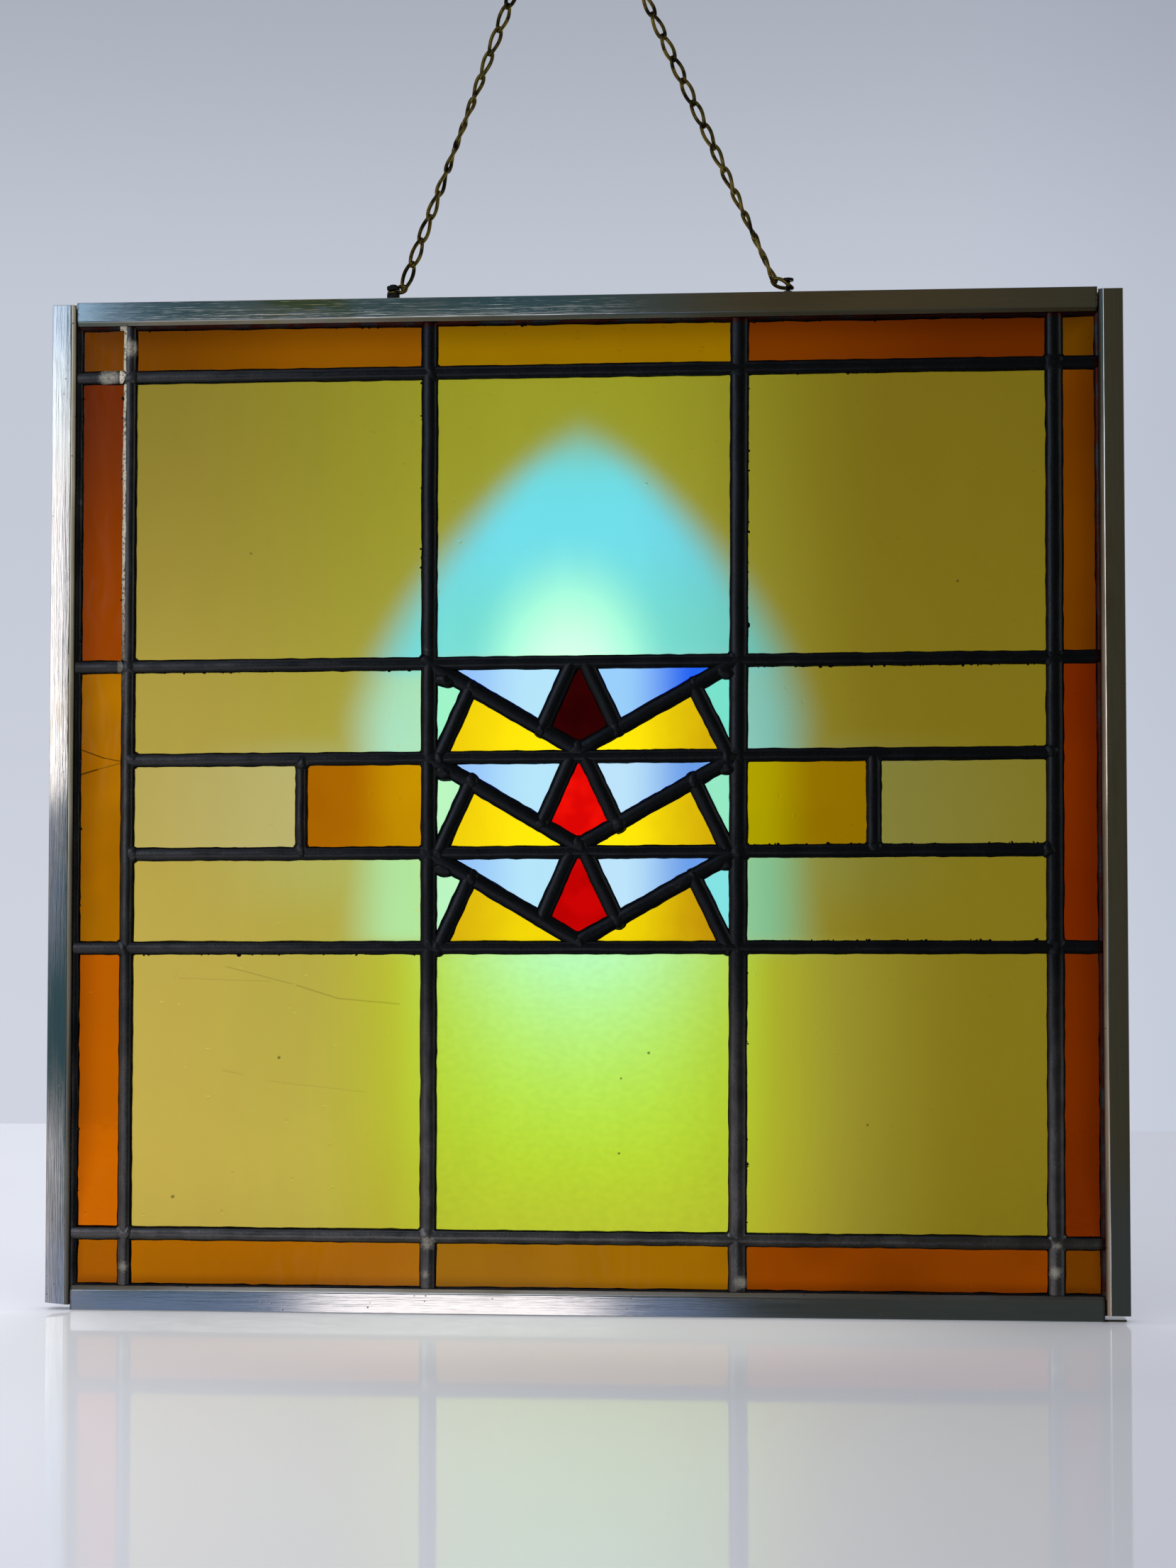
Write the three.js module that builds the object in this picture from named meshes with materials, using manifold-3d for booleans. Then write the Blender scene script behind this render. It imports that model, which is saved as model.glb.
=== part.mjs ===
// A leaded stained glass panel in a metal channel frame, hung on a light brass chain.
// Millimetres, +Z up. The glass lies in the XZ plane and its front faces -Y.
// The origin is the top of the chain, where the panel hangs.
import * as THREE from "three";
import { mergeVertices } from "three/addons/utils/BufferGeometryUtils.js";
import Module from "manifold-3d";

const wasm = await Module();
wasm.setup();

// ---------------------------------------------------------------- driving dimensions
// Distances across the panel are measured from its left outer edge, and distances
// down it, called drops, from the outer face of its top rail.

const PANEL = { width: 508, height: 480, depth: 10 };

// The channel that frames the panel: a flat face, then a lip that leans in to the glass.
const CHANNEL = { flat: 9.2, lip: 2.3, lean: 1.2, wall: 1 };
const FACE = CHANNEL.flat + CHANNEL.lip;

// The stiles stop short of the rails' outer faces, and the left one is sawn a little askew.
const STILE = { topDrop: 0.9, bottomDrop: 477.4, askew: 1.1 };
const BUTT_GAP = 0.4;
const TONGUE = 10; // the bottom rail's web runs on below the right stile

// The top of the chain.
const HANG = { across: 249.3, rise: 209 };

// Lead cames: two flanges over the glass, joined by a heart between the panes. A flange
// is thickest along its middle, over the share of its width called flat.
const CAME = { groove: 3.2, edge: 0.6, crown: 1.25, flat: 0.2, heart: 1.4 };

// The border came lies under the channel's lips. Its inner edge stands at these distances
// from the panel's outer edges, and its square ends leave a small notch at each corner.
const BORDER = { width: 10, crown: 0.85, left: 14.2, right: 13.2, top: 13.1, bottom: 12.1 };
const CORNER_NOTCH = 0.5;

// Uprights: where each one crosses the top and the bottom of the panel, and its width.
const UPRIGHTS = [
  { top: 37.2, bottom: 36.8, width: 6.5 },
  { top: 182, bottom: 182, width: 7.8 },
  { top: 329.4, bottom: 327.2, width: 8.8 },
  { top: 476.4, bottom: 474.6, width: 8.2 },
];

// Crossbars: the drop of each one at the left and at the right of the panel. The inner
// ones stop at the outer uprights, and the others run on to the border.
const CROSSBARS = [
  { left: 35.8, right: 34.8 },
  { left: 175.2, right: 172.8 },
  { left: 220.2, right: 217.4, inner: true },
  { left: 265, right: 262.6, inner: true },
  { left: 309.4, right: 308 },
  { left: 444.2, right: 444.8 },
];
const CROSSBAR_WIDTH = 6.4;

// Short uprights that part the middle band's second row.
const SPLITS = [
  { across: 120.9, width: 5.8 },
  { across: 391.6, width: 7.2 },
];

// The motif: chevron cells, one in each row of the middle band. In each cell two diagonals
// run from the top corners to their meeting, which is a little left of the middle and
// just over the lower crossbar. Inner struts hang from the upper crossbar on both sides of
// the middle, and outer struts stand on the lower crossbar near the corners. The shares
// say how far down the diagonals the struts meet them.
const CELLS = 3;
const MOTIF = {
  width: 7.6,
  middle: 0.485,
  meetingRise: 2.9,
  innerShare: 0.755,
  innerOffset: 3.3,
  outerShare: 0.278,
  outerOffset: 4.5,
};

const GLASS = { thickness: 2.6, gap: 0.3 };

// Single jack chain: each link is a ring pinched at its waist, where it also twists, so
// that its two loops are at right angles. Widths are across the wire's middle line. The
// links of a run turn slowly about it, from the first one at its foot to the last one.
const CHAIN = { wire: 1.3, loopWidth: 4, waist: 1.5, sides: 4, steps: 8, touch: 0.4 };
const TOP_LINK_REACH = 6.2; // from the middle of the link at the very top to its ends
const LEFT_RUN = { links: 18, firstTurn: 90, lastTurn: 180, holdReach: 3.8, holdTilt: 16 };
const RIGHT_RUN = { links: 19, firstTurn: 120, lastTurn: 270, holdReach: 4.6, holdTilt: 22 };

// Hanger studs soldered on the top rail: a foot, a stem and a flat head.
const STUD = { stem: 0.75, headHeight: 1.3, rise: 6.9 };
const LEFT_STUD = { across: 164.2, foot: 3.1, footHeight: 1.8, head: 2 };
const RIGHT_STUD = { across: 352.2, foot: 2.2, footHeight: 0.8, head: 2.7 };
const SOLDER_GAP = 0.3;

// ---------------------------------------------------------------- materials

const metal = (color, roughness) =>
  new THREE.MeshStandardMaterial({ color, metalness: 0.9, roughness });
const glass = (color) =>
  new THREE.MeshStandardMaterial({ color, roughness: 0.08, transparent: true, opacity: 0.6 });

const MATERIALS = {
  channel: metal(0x8f9aa3, 0.35),
  lead: metal(0x34373d, 0.6),
  brass: metal(0x6b5a2c, 0.45),
  stud: metal(0x2b2623, 0.6),
  olive: glass(0xc9bb4a),
  amber: glass(0xd08a10),
  orange: glass(0xb45a10),
  brown: glass(0x8f4a0c),
  blue: glass(0xa8ccff),
  yellow: glass(0xf4d410),
  red: glass(0xd01006),
  maroon: glass(0x3a0606),
  mint: glass(0xa4ecc8),
};

// ---------------------------------------------------------------- helpers

const DEPTH_AXIS = new THREE.Vector3(0, 1, 0);

// A point of the panel's middle plane, from its distance across and its drop.
const onPanel = (across, drop) => new THREE.Vector3(across - HANG.across, 0, -HANG.rise - drop);

// A three.js geometry as a manifold-3d solid, and back.
function solidOf(geometry) {
  const bare = geometry.index ? geometry.toNonIndexed() : geometry.clone();
  bare.deleteAttribute("normal");
  bare.deleteAttribute("uv");
  const merged = mergeVertices(bare, 1e-4);
  const mesh = new wasm.Mesh({
    numProp: 3,
    vertProperties: new Float32Array(merged.attributes.position.array),
    triVerts: new Uint32Array(merged.index.array),
  });
  return new wasm.Manifold(mesh);
}

function geometryOf(solid) {
  const mesh = solid.getMesh();
  const geometry = new THREE.BufferGeometry();
  geometry.setAttribute("position", new THREE.BufferAttribute(mesh.vertProperties, 3));
  geometry.setIndex(new THREE.BufferAttribute(mesh.triVerts, 1));
  geometry.computeVertexNormals();
  return geometry;
}

const joined = (geometries) =>
  geometryOf(geometries.map(solidOf).reduce((all, next) => all.add(next)));

// A straight bar: a closed outline of (sideways, depth) points, drawn out from start.
// sideways is the direction that the outline's first coordinate takes.
function bar(outline, start, sideways, length) {
  const shape = new THREE.Shape(outline.map(([u, v]) => new THREE.Vector2(u, v)));
  const geometry = new THREE.ExtrudeGeometry(shape, { depth: length, bevelEnabled: false });
  const along = new THREE.Vector3().crossVectors(sideways, DEPTH_AXIS);
  geometry.applyMatrix4(new THREE.Matrix4().makeBasis(sideways, DEPTH_AXIS, along));
  return geometry.translate(start.x, start.y, start.z);
}

// Where the line through a and b meets the line through c and d, in the XZ plane.
function meeting(a, b, c, d) {
  const ab = b.clone().sub(a);
  const cd = d.clone().sub(c);
  const ac = c.clone().sub(a);
  const t = (ac.x * cd.z - ac.z * cd.x) / (ab.x * cd.z - ab.z * cd.x);
  return a.clone().addScaledVector(ab, t);
}

const between = (a, b, share) => a.clone().lerp(b, share);

// The point at a distance from a on the way to b.
const towards = (a, b, distance) => between(a, b, distance / a.distanceTo(b));

// A convex outline with every side moved inwards by the same distance.
function inset(corners, distance) {
  const centre = new THREE.Vector3();
  for (const corner of corners) centre.addScaledVector(corner, 1 / corners.length);
  const sides = corners.map((a, i) => {
    const b = corners[(i + 1) % corners.length];
    const along = b.clone().sub(a).normalize();
    const inwards = new THREE.Vector3().crossVectors(along, DEPTH_AXIS);
    if (inwards.dot(centre.clone().sub(a)) < 0) inwards.negate();
    inwards.multiplyScalar(distance);
    return [a.clone().add(inwards), b.clone().add(inwards)];
  });
  return sides.map((side, i) => {
    const before = sides[(i + sides.length - 1) % sides.length];
    return meeting(before[0], before[1], side[0], side[1]);
  });
}

// ---------------------------------------------------------------- the grid of lead lines

const uprightLine = ({ top, bottom }) => [onPanel(top, 0), onPanel(bottom, PANEL.height)];
const crossbarLine = ({ left, right }) => [onPanel(0, left), onPanel(PANEL.width, right)];

// The middle lines of the border came close the grid.
const straightUpright = (across) => ({ top: across, bottom: across });
const straightCrossbar = (drop) => ({ left: drop, right: drop });
const borderMiddle = (side) => BORDER[side] - BORDER.width / 2;

const uprightLines = [
  straightUpright(borderMiddle("left")),
  ...UPRIGHTS,
  straightUpright(PANEL.width - borderMiddle("right")),
].map(uprightLine);
const crossbarLines = [
  straightCrossbar(borderMiddle("top")),
  ...CROSSBARS,
  straightCrossbar(PANEL.height - borderMiddle("bottom")),
].map(crossbarLine);

// Rows and columns of panes, each by the number of the line that it starts at.
const ROW = { top: 0, upper: 1, band: 2, lower: 5, bottom: 6 };
const COLUMN = { borderLeft: 0, left: 1, centre: 2, right: 3, borderRight: 4 };

// The crossing of upright number column and crossbar number row, counting the border's.
const crossing = (column, row) => meeting(...uprightLines[column], ...crossbarLines[row]);

// Where a short split meets crossbar number row. Splits part the band's middle row.
const SPLIT_ROW = ROW.band + 1;
const splitAt = (split, row) =>
  meeting(onPanel(split.across, 0), onPanel(split.across, PANEL.height), ...crossbarLines[row]);

// One chevron cell of the motif, between the two middle uprights.
function chevronCell(row) {
  const corners = {
    left: [crossing(COLUMN.centre, row), crossing(COLUMN.centre, row + 1)],
    right: [crossing(COLUMN.centre + 1, row), crossing(COLUMN.centre + 1, row + 1)],
  };
  const top = between(corners.left[0], corners.right[0], MOTIF.middle);
  const bottom = between(corners.left[1], corners.right[1], MOTIF.middle);
  const meetingPoint = bottom.clone().setZ(bottom.z + MOTIF.meetingRise);
  const half = ([corner, lowCorner]) => ({
    corner,
    lowCorner,
    innerTop: towards(top, corner, MOTIF.innerOffset),
    inner: between(corner, meetingPoint, MOTIF.innerShare),
    outer: between(corner, meetingPoint, MOTIF.outerShare),
    outerFoot: towards(lowCorner, bottom, MOTIF.outerOffset),
  });
  return { bottom, meetingPoint, left: half(corners.left), right: half(corners.right) };
}

const cells = Array.from({ length: CELLS }, (_, i) => chevronCell(ROW.band + i));

// ---------------------------------------------------------------- lead cames

// The H section of a came: domed flanges in front and behind, and the heart between.
function cameOutline(width, crown) {
  const inside = CAME.groove / 2;
  const half = width / 2;
  const flange = [
    [-CAME.heart / 2, inside],
    [-half, inside],
    [-half, inside + CAME.edge],
    [-CAME.flat * width, inside + crown],
  ];
  const back = [...flange, ...flange.map(([u, v]) => [-u, v]).reverse()];
  const front = back.map(([u, v]) => [-u, -v]);
  return [...back, ...front];
}

function came(from, to, width, crown = CAME.crown) {
  const along = to.clone().sub(from);
  const length = along.length();
  const sideways = new THREE.Vector3().crossVectors(DEPTH_AXIS, along.normalize());
  return bar(cameOutline(width, crown), from, sideways, length);
}

function borderCames() {
  const lastColumn = uprightLines.length - 1;
  const lastRow = crossbarLines.length - 1;
  const corners = [[0, 0], [lastColumn, 0], [lastColumn, lastRow], [0, lastRow]].map(
    ([column, row]) => crossing(column, row),
  );
  const overrun = BORDER.width / 2 - CORNER_NOTCH;
  return corners.map((corner, i) => {
    const next = corners[(i + 1) % corners.length];
    const from = towards(corner, next, -overrun);
    const to = towards(next, corner, -overrun);
    return came(from, to, BORDER.width, BORDER.crown);
  });
}

function cameLattice() {
  const parts = borderCames();
  UPRIGHTS.forEach(({ width }, i) => {
    const column = i + 1;
    parts.push(came(crossing(column, 0), crossing(column, crossbarLines.length - 1), width));
  });
  CROSSBARS.forEach(({ inner }, i) => {
    const start = inner ? COLUMN.left : COLUMN.borderLeft;
    const end = uprightLines.length - 1 - start;
    parts.push(came(crossing(start, i + 1), crossing(end, i + 1), CROSSBAR_WIDTH));
  });
  for (const split of SPLITS)
    parts.push(came(splitAt(split, SPLIT_ROW), splitAt(split, SPLIT_ROW + 1), split.width));
  for (const { meetingPoint, left, right } of cells)
    for (const { corner, innerTop, inner, outer, outerFoot } of [left, right])
      parts.push(
        came(corner, meetingPoint, MOTIF.width),
        came(innerTop, inner, MOTIF.width),
        came(outerFoot, outer, MOTIF.width),
      );
  return joined(parts);
}

// ---------------------------------------------------------------- glass

const HEART_CLEARANCE = CAME.heart / 2 + GLASS.gap;

// A pane that fills the outline of lead lines, cut back to clear the hearts.
function pane(corners) {
  const outline = inset(corners, HEART_CLEARANCE);
  const shape = new THREE.Shape(outline.map((p) => new THREE.Vector2(p.x, p.z)));
  const geometry = new THREE.ExtrudeGeometry(shape, {
    depth: GLASS.thickness,
    bevelEnabled: false,
  });
  return geometry.rotateX(Math.PI / 2).translate(0, GLASS.thickness / 2, 0);
}

// The pane between two neighbouring uprights and two neighbouring crossbars.
const gridPane = (column, row) =>
  pane([
    crossing(column, row),
    crossing(column + 1, row),
    crossing(column + 1, row + 1),
    crossing(column, row + 1),
  ]);

// The border panes: corners, strips along the top and the bottom, and strips down the
// sides, where the middle strip is as tall as the whole band.
function borderPanes(add) {
  for (const height of ["top", "bottom"]) {
    const row = ROW[height];
    const leftCorner = height === "top" ? "brown" : "amber";
    add(`corner_${height}_left`, leftCorner, gridPane(COLUMN.borderLeft, row));
    add(`corner_${height}_right`, "brown", gridPane(COLUMN.borderRight, row));
    add(`${height}_left`, "amber", gridPane(COLUMN.left, row));
    add(`${height}_centre`, "amber", gridPane(COLUMN.centre, row));
    add(`${height}_right`, "orange", gridPane(COLUMN.right, row));
  }
  for (const side of ["left", "right"]) {
    const column = side === "left" ? COLUMN.borderLeft : COLUMN.borderRight;
    const middle = [
      crossing(column, ROW.band),
      crossing(column + 1, ROW.band),
      crossing(column + 1, ROW.band + CELLS),
      crossing(column, ROW.band + CELLS),
    ];
    add(`${side}_upper`, "orange", gridPane(column, ROW.upper));
    add(`${side}_middle`, side === "left" ? "amber" : "orange", pane(middle));
    add(`${side}_lower`, "orange", gridPane(column, ROW.lower));
  }
}

// The middle band beside the motif: its first and third rows are whole, and its second
// is split in an amber pane near the motif and an olive one outside it.
function bandPanes(add) {
  SPLITS.forEach((split, i) => {
    const side = ["left", "right"][i];
    const column = COLUMN[side];
    const edge = (x) => [crossing(x, SPLIT_ROW), crossing(x, SPLIT_ROW + 1)];
    const cut = [splitAt(split, SPLIT_ROW), splitAt(split, SPLIT_ROW + 1)];
    const strip = (from, to) => pane([from[0], to[0], to[1], from[1]]);
    const parts = [strip(edge(column), cut), strip(cut, edge(column + 1))];
    add(`band_${side}_1`, "olive", gridPane(column, SPLIT_ROW - 1));
    add(`band_${side}_2_outer`, "olive", parts[i]);
    add(`band_${side}_2_amber`, "amber", parts[1 - i]);
    add(`band_${side}_3`, "olive", gridPane(column, SPLIT_ROW + 1));
  });
}

// The motif: a kite and three pairs of small panes in each cell.
function motifPanes(add) {
  cells.forEach(({ bottom, meetingPoint, left, right }, i) => {
    const number = i + 1;
    const kite = [left.innerTop, right.innerTop, right.inner, meetingPoint, left.inner];
    add(`kite_${number}`, i === 0 ? "maroon" : "red", pane(kite));
    for (const [side, half] of Object.entries({ left, right })) {
      const { corner, lowCorner, innerTop, inner, outer, outerFoot } = half;
      const yellow = [outerFoot, outer, meetingPoint, bottom];
      add(`blue_${side}_${number}`, "blue", pane([corner, innerTop, inner]));
      add(`yellow_${side}_${number}`, "yellow", pane(yellow));
      add(`mint_${side}_${number}`, "mint", pane([corner, outer, outerFoot, lowCorner]));
    }
  });
}

function panes() {
  const found = [];
  const add = (name, colour, geometry) => found.push({ name: "pane_" + name, colour, geometry });
  borderPanes(add);
  for (const height of ["upper", "lower"])
    for (const side of ["left", "centre", "right"])
      add(`main_${height}_${side}`, "olive", gridPane(COLUMN[side], ROW[height]));
  bandPanes(add);
  motifPanes(add);
  return found;
}

// ---------------------------------------------------------------- frame

// The channel's section, from its outer face inwards: a web with a flange on each side.
// Each flange is flat, then leans in to the glass. The walls keep one thickness.
function channelOutline() {
  const { flat, lip, lean, wall } = CHANNEL;
  const slope = Math.atan2(lean, lip);
  const elbow = flat - wall * Math.tan(slope / 2);
  const tip = [FACE - wall * Math.sin(slope), lean + wall * Math.cos(slope)];
  const front = [[0, 0], [flat, 0], [FACE, lean], tip, [elbow, wall], [wall, wall]];
  const back = front.map(([u, v]) => [u, PANEL.depth - v]).reverse();
  return [...front, ...back].map(([u, v]) => [u, v - PANEL.depth / 2]);
}

const stileLength = STILE.bottomDrop - STILE.topDrop;
const RIGHT = new THREE.Vector3(1, 0, 0);
const UP = new THREE.Vector3(0, 0, 1);
const LEFT = RIGHT.clone().negate();
const DOWN = UP.clone().negate();

// The left stile's foot is sawn askew, so that it is longer on its inner side.
function leftStile() {
  const foot = onPanel(0, STILE.bottomDrop);
  const geometry = bar(channelOutline(), foot, RIGHT, stileLength);
  const position = geometry.attributes.position;
  for (let i = 0; i < position.count; i++) {
    const atFoot = position.getZ(i) < foot.z + 1;
    const share = (position.getX(i) - foot.x) / FACE;
    if (atFoot) position.setZ(i, foot.z + STILE.askew * (0.5 - share));
  }
  return geometry;
}

const rightStile = () =>
  bar(channelOutline(), onPanel(PANEL.width, STILE.topDrop), LEFT, stileLength);

const RAIL_START = FACE + BUTT_GAP;
const railLength = PANEL.width - 2 * RAIL_START;

const topRail = () => bar(channelOutline(), onPanel(RAIL_START, 0), DOWN, railLength);

// The bottom rail keeps a tongue of its web, which runs on below the right stile.
function bottomRail() {
  const end = PANEL.width - RAIL_START;
  const rail = bar(channelOutline(), onPanel(end, PANEL.height), UP, railLength);
  const tongue = new THREE.BoxGeometry(TONGUE + 1, PANEL.depth - 1, CHANNEL.wall);
  const middle = onPanel(end + (TONGUE - 1) / 2, PANEL.height - CHANNEL.wall / 2);
  return joined([rail, tongue.translate(middle.x, middle.y, middle.z)]);
}

// ---------------------------------------------------------------- hangers and chain

// A stud on the top rail, turned from one profile.
function stud({ across, foot, footHeight, head }) {
  const neck = STUD.rise - STUD.headHeight;
  const profile = [
    [0, 0],
    [foot, 0],
    [foot, footHeight],
    [STUD.stem, footHeight],
    [STUD.stem, neck],
    [head, neck + 0.3],
    [head, STUD.rise - 0.4],
    [head * 0.7, STUD.rise],
    [0, STUD.rise],
  ].map(([r, z]) => new THREE.Vector2(r, z));
  const base = onPanel(across, -SOLDER_GAP);
  const turned = new THREE.LatheGeometry(profile, 12).rotateX(Math.PI / 2);
  return turned.translate(base.x, base.y, base.z);
}

// A closed loop of wire along centre points. Each point comes with the direction that
// faces out of the loop there, which keeps the wire's section from turning.
function wireLoop(points) {
  const positions = [];
  const indices = [];
  points.forEach(({ centre, outwards }, i) => {
    const before = points[(i + points.length - 1) % points.length].centre;
    const after = points[(i + 1) % points.length].centre;
    const along = after.clone().sub(before).normalize();
    const sideways = new THREE.Vector3().crossVectors(along, outwards).normalize();
    const normal = new THREE.Vector3().crossVectors(sideways, along);
    for (let side = 0; side < CHAIN.sides; side++) {
      const angle = (2 * Math.PI * (side + 0.5)) / CHAIN.sides;
      const point = centre
        .clone()
        .addScaledVector(sideways, (CHAIN.wire / 2) * Math.cos(angle))
        .addScaledVector(normal, (CHAIN.wire / 2) * Math.sin(angle));
      positions.push(point.x, point.y, point.z);
      const next = (side + 1) % CHAIN.sides;
      const ring = i * CHAIN.sides;
      const nextRing = ((i + 1) % points.length) * CHAIN.sides;
      indices.push(ring + side, nextRing + side, ring + next);
      indices.push(ring + next, nextRing + side, nextRing + next);
    }
  });
  const geometry = new THREE.BufferGeometry();
  geometry.setAttribute("position", new THREE.Float32BufferAttribute(positions, 3));
  return geometry.setIndex(indices);
}

// A link along +Z with its middle at the origin. Its lower loop lies in the XZ plane and
// its upper loop in the YZ plane.
function linkAlongZ(reach) {
  const points = Array.from({ length: CHAIN.steps }, (_, i) => {
    const angle = (2 * Math.PI * i) / CHAIN.steps;
    const height = -Math.cos(angle);
    const share = THREE.MathUtils.smoothstep(height, -0.5, 0.5);
    const twist = (share * Math.PI) / 2;
    const belly = Math.abs(Math.sin(2 * angle)) * CHAIN.loopWidth;
    const waist = Math.abs(Math.sin(angle)) * CHAIN.waist;
    const offset = (Math.sign(Math.sin(angle)) * Math.max(belly, waist)) / 2;
    const radial = new THREE.Vector3(Math.cos(twist), Math.sin(twist), 0);
    const centre = radial.clone().multiplyScalar(offset).setZ(reach * height);
    const innerHeight = THREE.MathUtils.clamp(height, -0.5, 0.5);
    const inside = new THREE.Vector3(0, 0, reach * innerHeight);
    return { centre, outwards: centre.clone().sub(inside) };
  });
  return wireLoop(points);
}

// A link moved to its middle, pointing along a direction and turned about it. At turn 0
// its first loop lies in the panel's plane if the link does.
function link(reach, middle, direction, turn) {
  return linkAlongZ(reach)
    .rotateZ(THREE.MathUtils.degToRad(turn))
    .applyQuaternion(new THREE.Quaternion().setFromUnitVectors(UP, direction))
    .translate(middle.x, middle.y, middle.z);
}

// The link that holds the run to its stud. Its near loop lies round the stem, and it
// leans up towards the run. Its far end is where the run begins.
function holdingLink(run, studPlace, side) {
  const tilt = THREE.MathUtils.degToRad(run.holdTilt);
  const lean = new THREE.Vector3(side * Math.cos(tilt), 0, Math.sin(tilt));
  const stemMiddle = (studPlace.footHeight + STUD.rise - STUD.headHeight) / 2;
  const stem = onPanel(studPlace.across, -SOLDER_GAP - stemMiddle);
  const behindStem = STUD.stem + SOLDER_GAP + CHAIN.wire / 2;
  const middle = stem.clone().addScaledVector(lean, run.holdReach - behindStem);
  const end = middle.clone().addScaledVector(lean, run.holdReach);
  return { shape: link(run.holdReach, middle, lean, 90), end, lean };
}

// One run of chain, from its stud up to the point where its last loop ends.
function chainRun(run, studPlace, side, top) {
  const hold = holdingLink(run, studPlace, side);
  const foot = hold.end.clone().addScaledVector(hold.lean, CHAIN.touch - CHAIN.wire);
  const overlap = CHAIN.wire - CHAIN.touch;
  const direction = top.clone().sub(foot).normalize();
  const pitch = (top.distanceTo(foot) - overlap) / run.links;
  const reach = (pitch + overlap) / 2;
  const parts = [hold.shape];
  for (let i = 0; i < run.links; i++) {
    const middle = foot.clone().addScaledVector(direction, reach + i * pitch);
    const share = i / (run.links - 1);
    const turn = THREE.MathUtils.lerp(run.firstTurn, run.lastTurn, share);
    parts.push(link(reach, middle, direction, turn));
  }
  return parts;
}

// The link at the very top lies level at the origin. The left run is hooked in its left
// loop and touches it. The right run passes round its right loop with a small gap.
const TOP_LINK_END = CHAIN.wire - CHAIN.touch - TOP_LINK_REACH;

function leftChain() {
  const topLink = link(TOP_LINK_REACH, new THREE.Vector3(), RIGHT, 0);
  const top = new THREE.Vector3(TOP_LINK_END, 0, -0.2);
  return joined([...chainRun(LEFT_RUN, LEFT_STUD, 1, top), topLink]);
}

function rightChain() {
  const ringEnd = new THREE.Vector3(TOP_LINK_REACH, 0, 0);
  const stud = onPanel(RIGHT_STUD.across, 0);
  const upwards = ringEnd.clone().sub(stud).normalize();
  const top = ringEnd.addScaledVector(upwards, CHAIN.wire + SOLDER_GAP);
  return joined(chainRun(RIGHT_RUN, RIGHT_STUD, -1, top));
}

// ---------------------------------------------------------------- assembly

const part = new THREE.Group();

function addPiece(name, geometry, material) {
  const mesh = new THREE.Mesh(geometry, material);
  mesh.name = name;
  part.add(mesh);
}

addPiece("stile_left", leftStile(), MATERIALS.channel);
addPiece("stile_right", rightStile(), MATERIALS.channel);
addPiece("rail_top", topRail(), MATERIALS.channel);
addPiece("rail_bottom", bottomRail(), MATERIALS.channel);
addPiece("came_lattice", cameLattice(), MATERIALS.lead);
for (const { name, colour, geometry } of panes()) addPiece(name, geometry, MATERIALS[colour]);
addPiece("hanger_stud_left", stud(LEFT_STUD), MATERIALS.stud);
addPiece("hanger_stud_right", stud(RIGHT_STUD), MATERIALS.stud);
addPiece("chain_left", leftChain(), MATERIALS.brass);
addPiece("chain_right", rightChain(), MATERIALS.brass);

export default part;
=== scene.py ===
# %% [markdown]
# # A leaded stained glass panel on a chain
#
# The real object is a window panel 508 mm wide and 480 mm high. Pieces of coloured
# glass sit in H-shaped strips of lead, called cames. A thin metal channel runs round
# the edge, and two chains join over the panel, where it hangs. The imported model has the
# right sizes already, so this script only adds the looks: rounded leads with lumpy
# solder, glass that lets light through, worn metal, and a wire chain.

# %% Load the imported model
import math
import random

import bpy
from mathutils import Matrix, Vector


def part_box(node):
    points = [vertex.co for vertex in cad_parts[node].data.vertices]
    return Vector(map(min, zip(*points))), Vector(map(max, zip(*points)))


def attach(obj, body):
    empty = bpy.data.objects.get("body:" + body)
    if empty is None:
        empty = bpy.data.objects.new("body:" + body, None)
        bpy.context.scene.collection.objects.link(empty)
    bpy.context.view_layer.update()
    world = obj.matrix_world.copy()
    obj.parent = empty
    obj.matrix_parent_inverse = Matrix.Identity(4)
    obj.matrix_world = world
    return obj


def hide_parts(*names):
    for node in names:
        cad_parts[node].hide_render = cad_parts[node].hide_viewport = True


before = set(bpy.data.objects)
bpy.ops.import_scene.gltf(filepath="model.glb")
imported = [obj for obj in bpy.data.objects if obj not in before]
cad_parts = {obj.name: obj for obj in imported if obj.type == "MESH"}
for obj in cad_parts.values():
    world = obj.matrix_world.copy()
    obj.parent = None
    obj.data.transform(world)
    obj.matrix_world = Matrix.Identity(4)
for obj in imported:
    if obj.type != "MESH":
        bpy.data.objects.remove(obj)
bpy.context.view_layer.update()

# %% [markdown]
# ## Where things are
# The panel's own measures are easiest to read in millimetres, as a maker writes them:
# how far across from the left outer edge, and how far down from the top outer edge.
# Blender works in metres, so one helper turns such a pair into a point.

# %% A point on the panel
MM = 0.001
PANEL_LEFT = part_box("stile_left")[0].x
PANEL_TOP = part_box("rail_top")[1].z
PANEL_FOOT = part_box("rail_bottom")[0].z
PANEL_WIDTH = 508
PANEL_HEIGHT = 480


def on_panel(across, drop, depth=0):
    """The point of the panel's middle plane, moved back by depth, all in mm."""
    return Vector((PANEL_LEFT + across * MM, depth * MM, PANEL_TOP - drop * MM))


print("the panel's middle is at", on_panel(PANEL_WIDTH / 2, PANEL_HEIGHT / 2))

# %% [markdown]
# ## The camera
# The camera stands 1.2 m in front, a little to the right of the panel's middle, and
# looks slightly left and up. A 39 mm lens on a sensor 24 mm high frames the panel with
# its chains above it and some of the table below.

# %% Place the camera
CAMERA_PLACE = Vector((0.0940, -1.2002, -0.4868))
CAMERA_LOOK = Vector((-0.0713, 0.9967, 0.0383))

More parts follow.
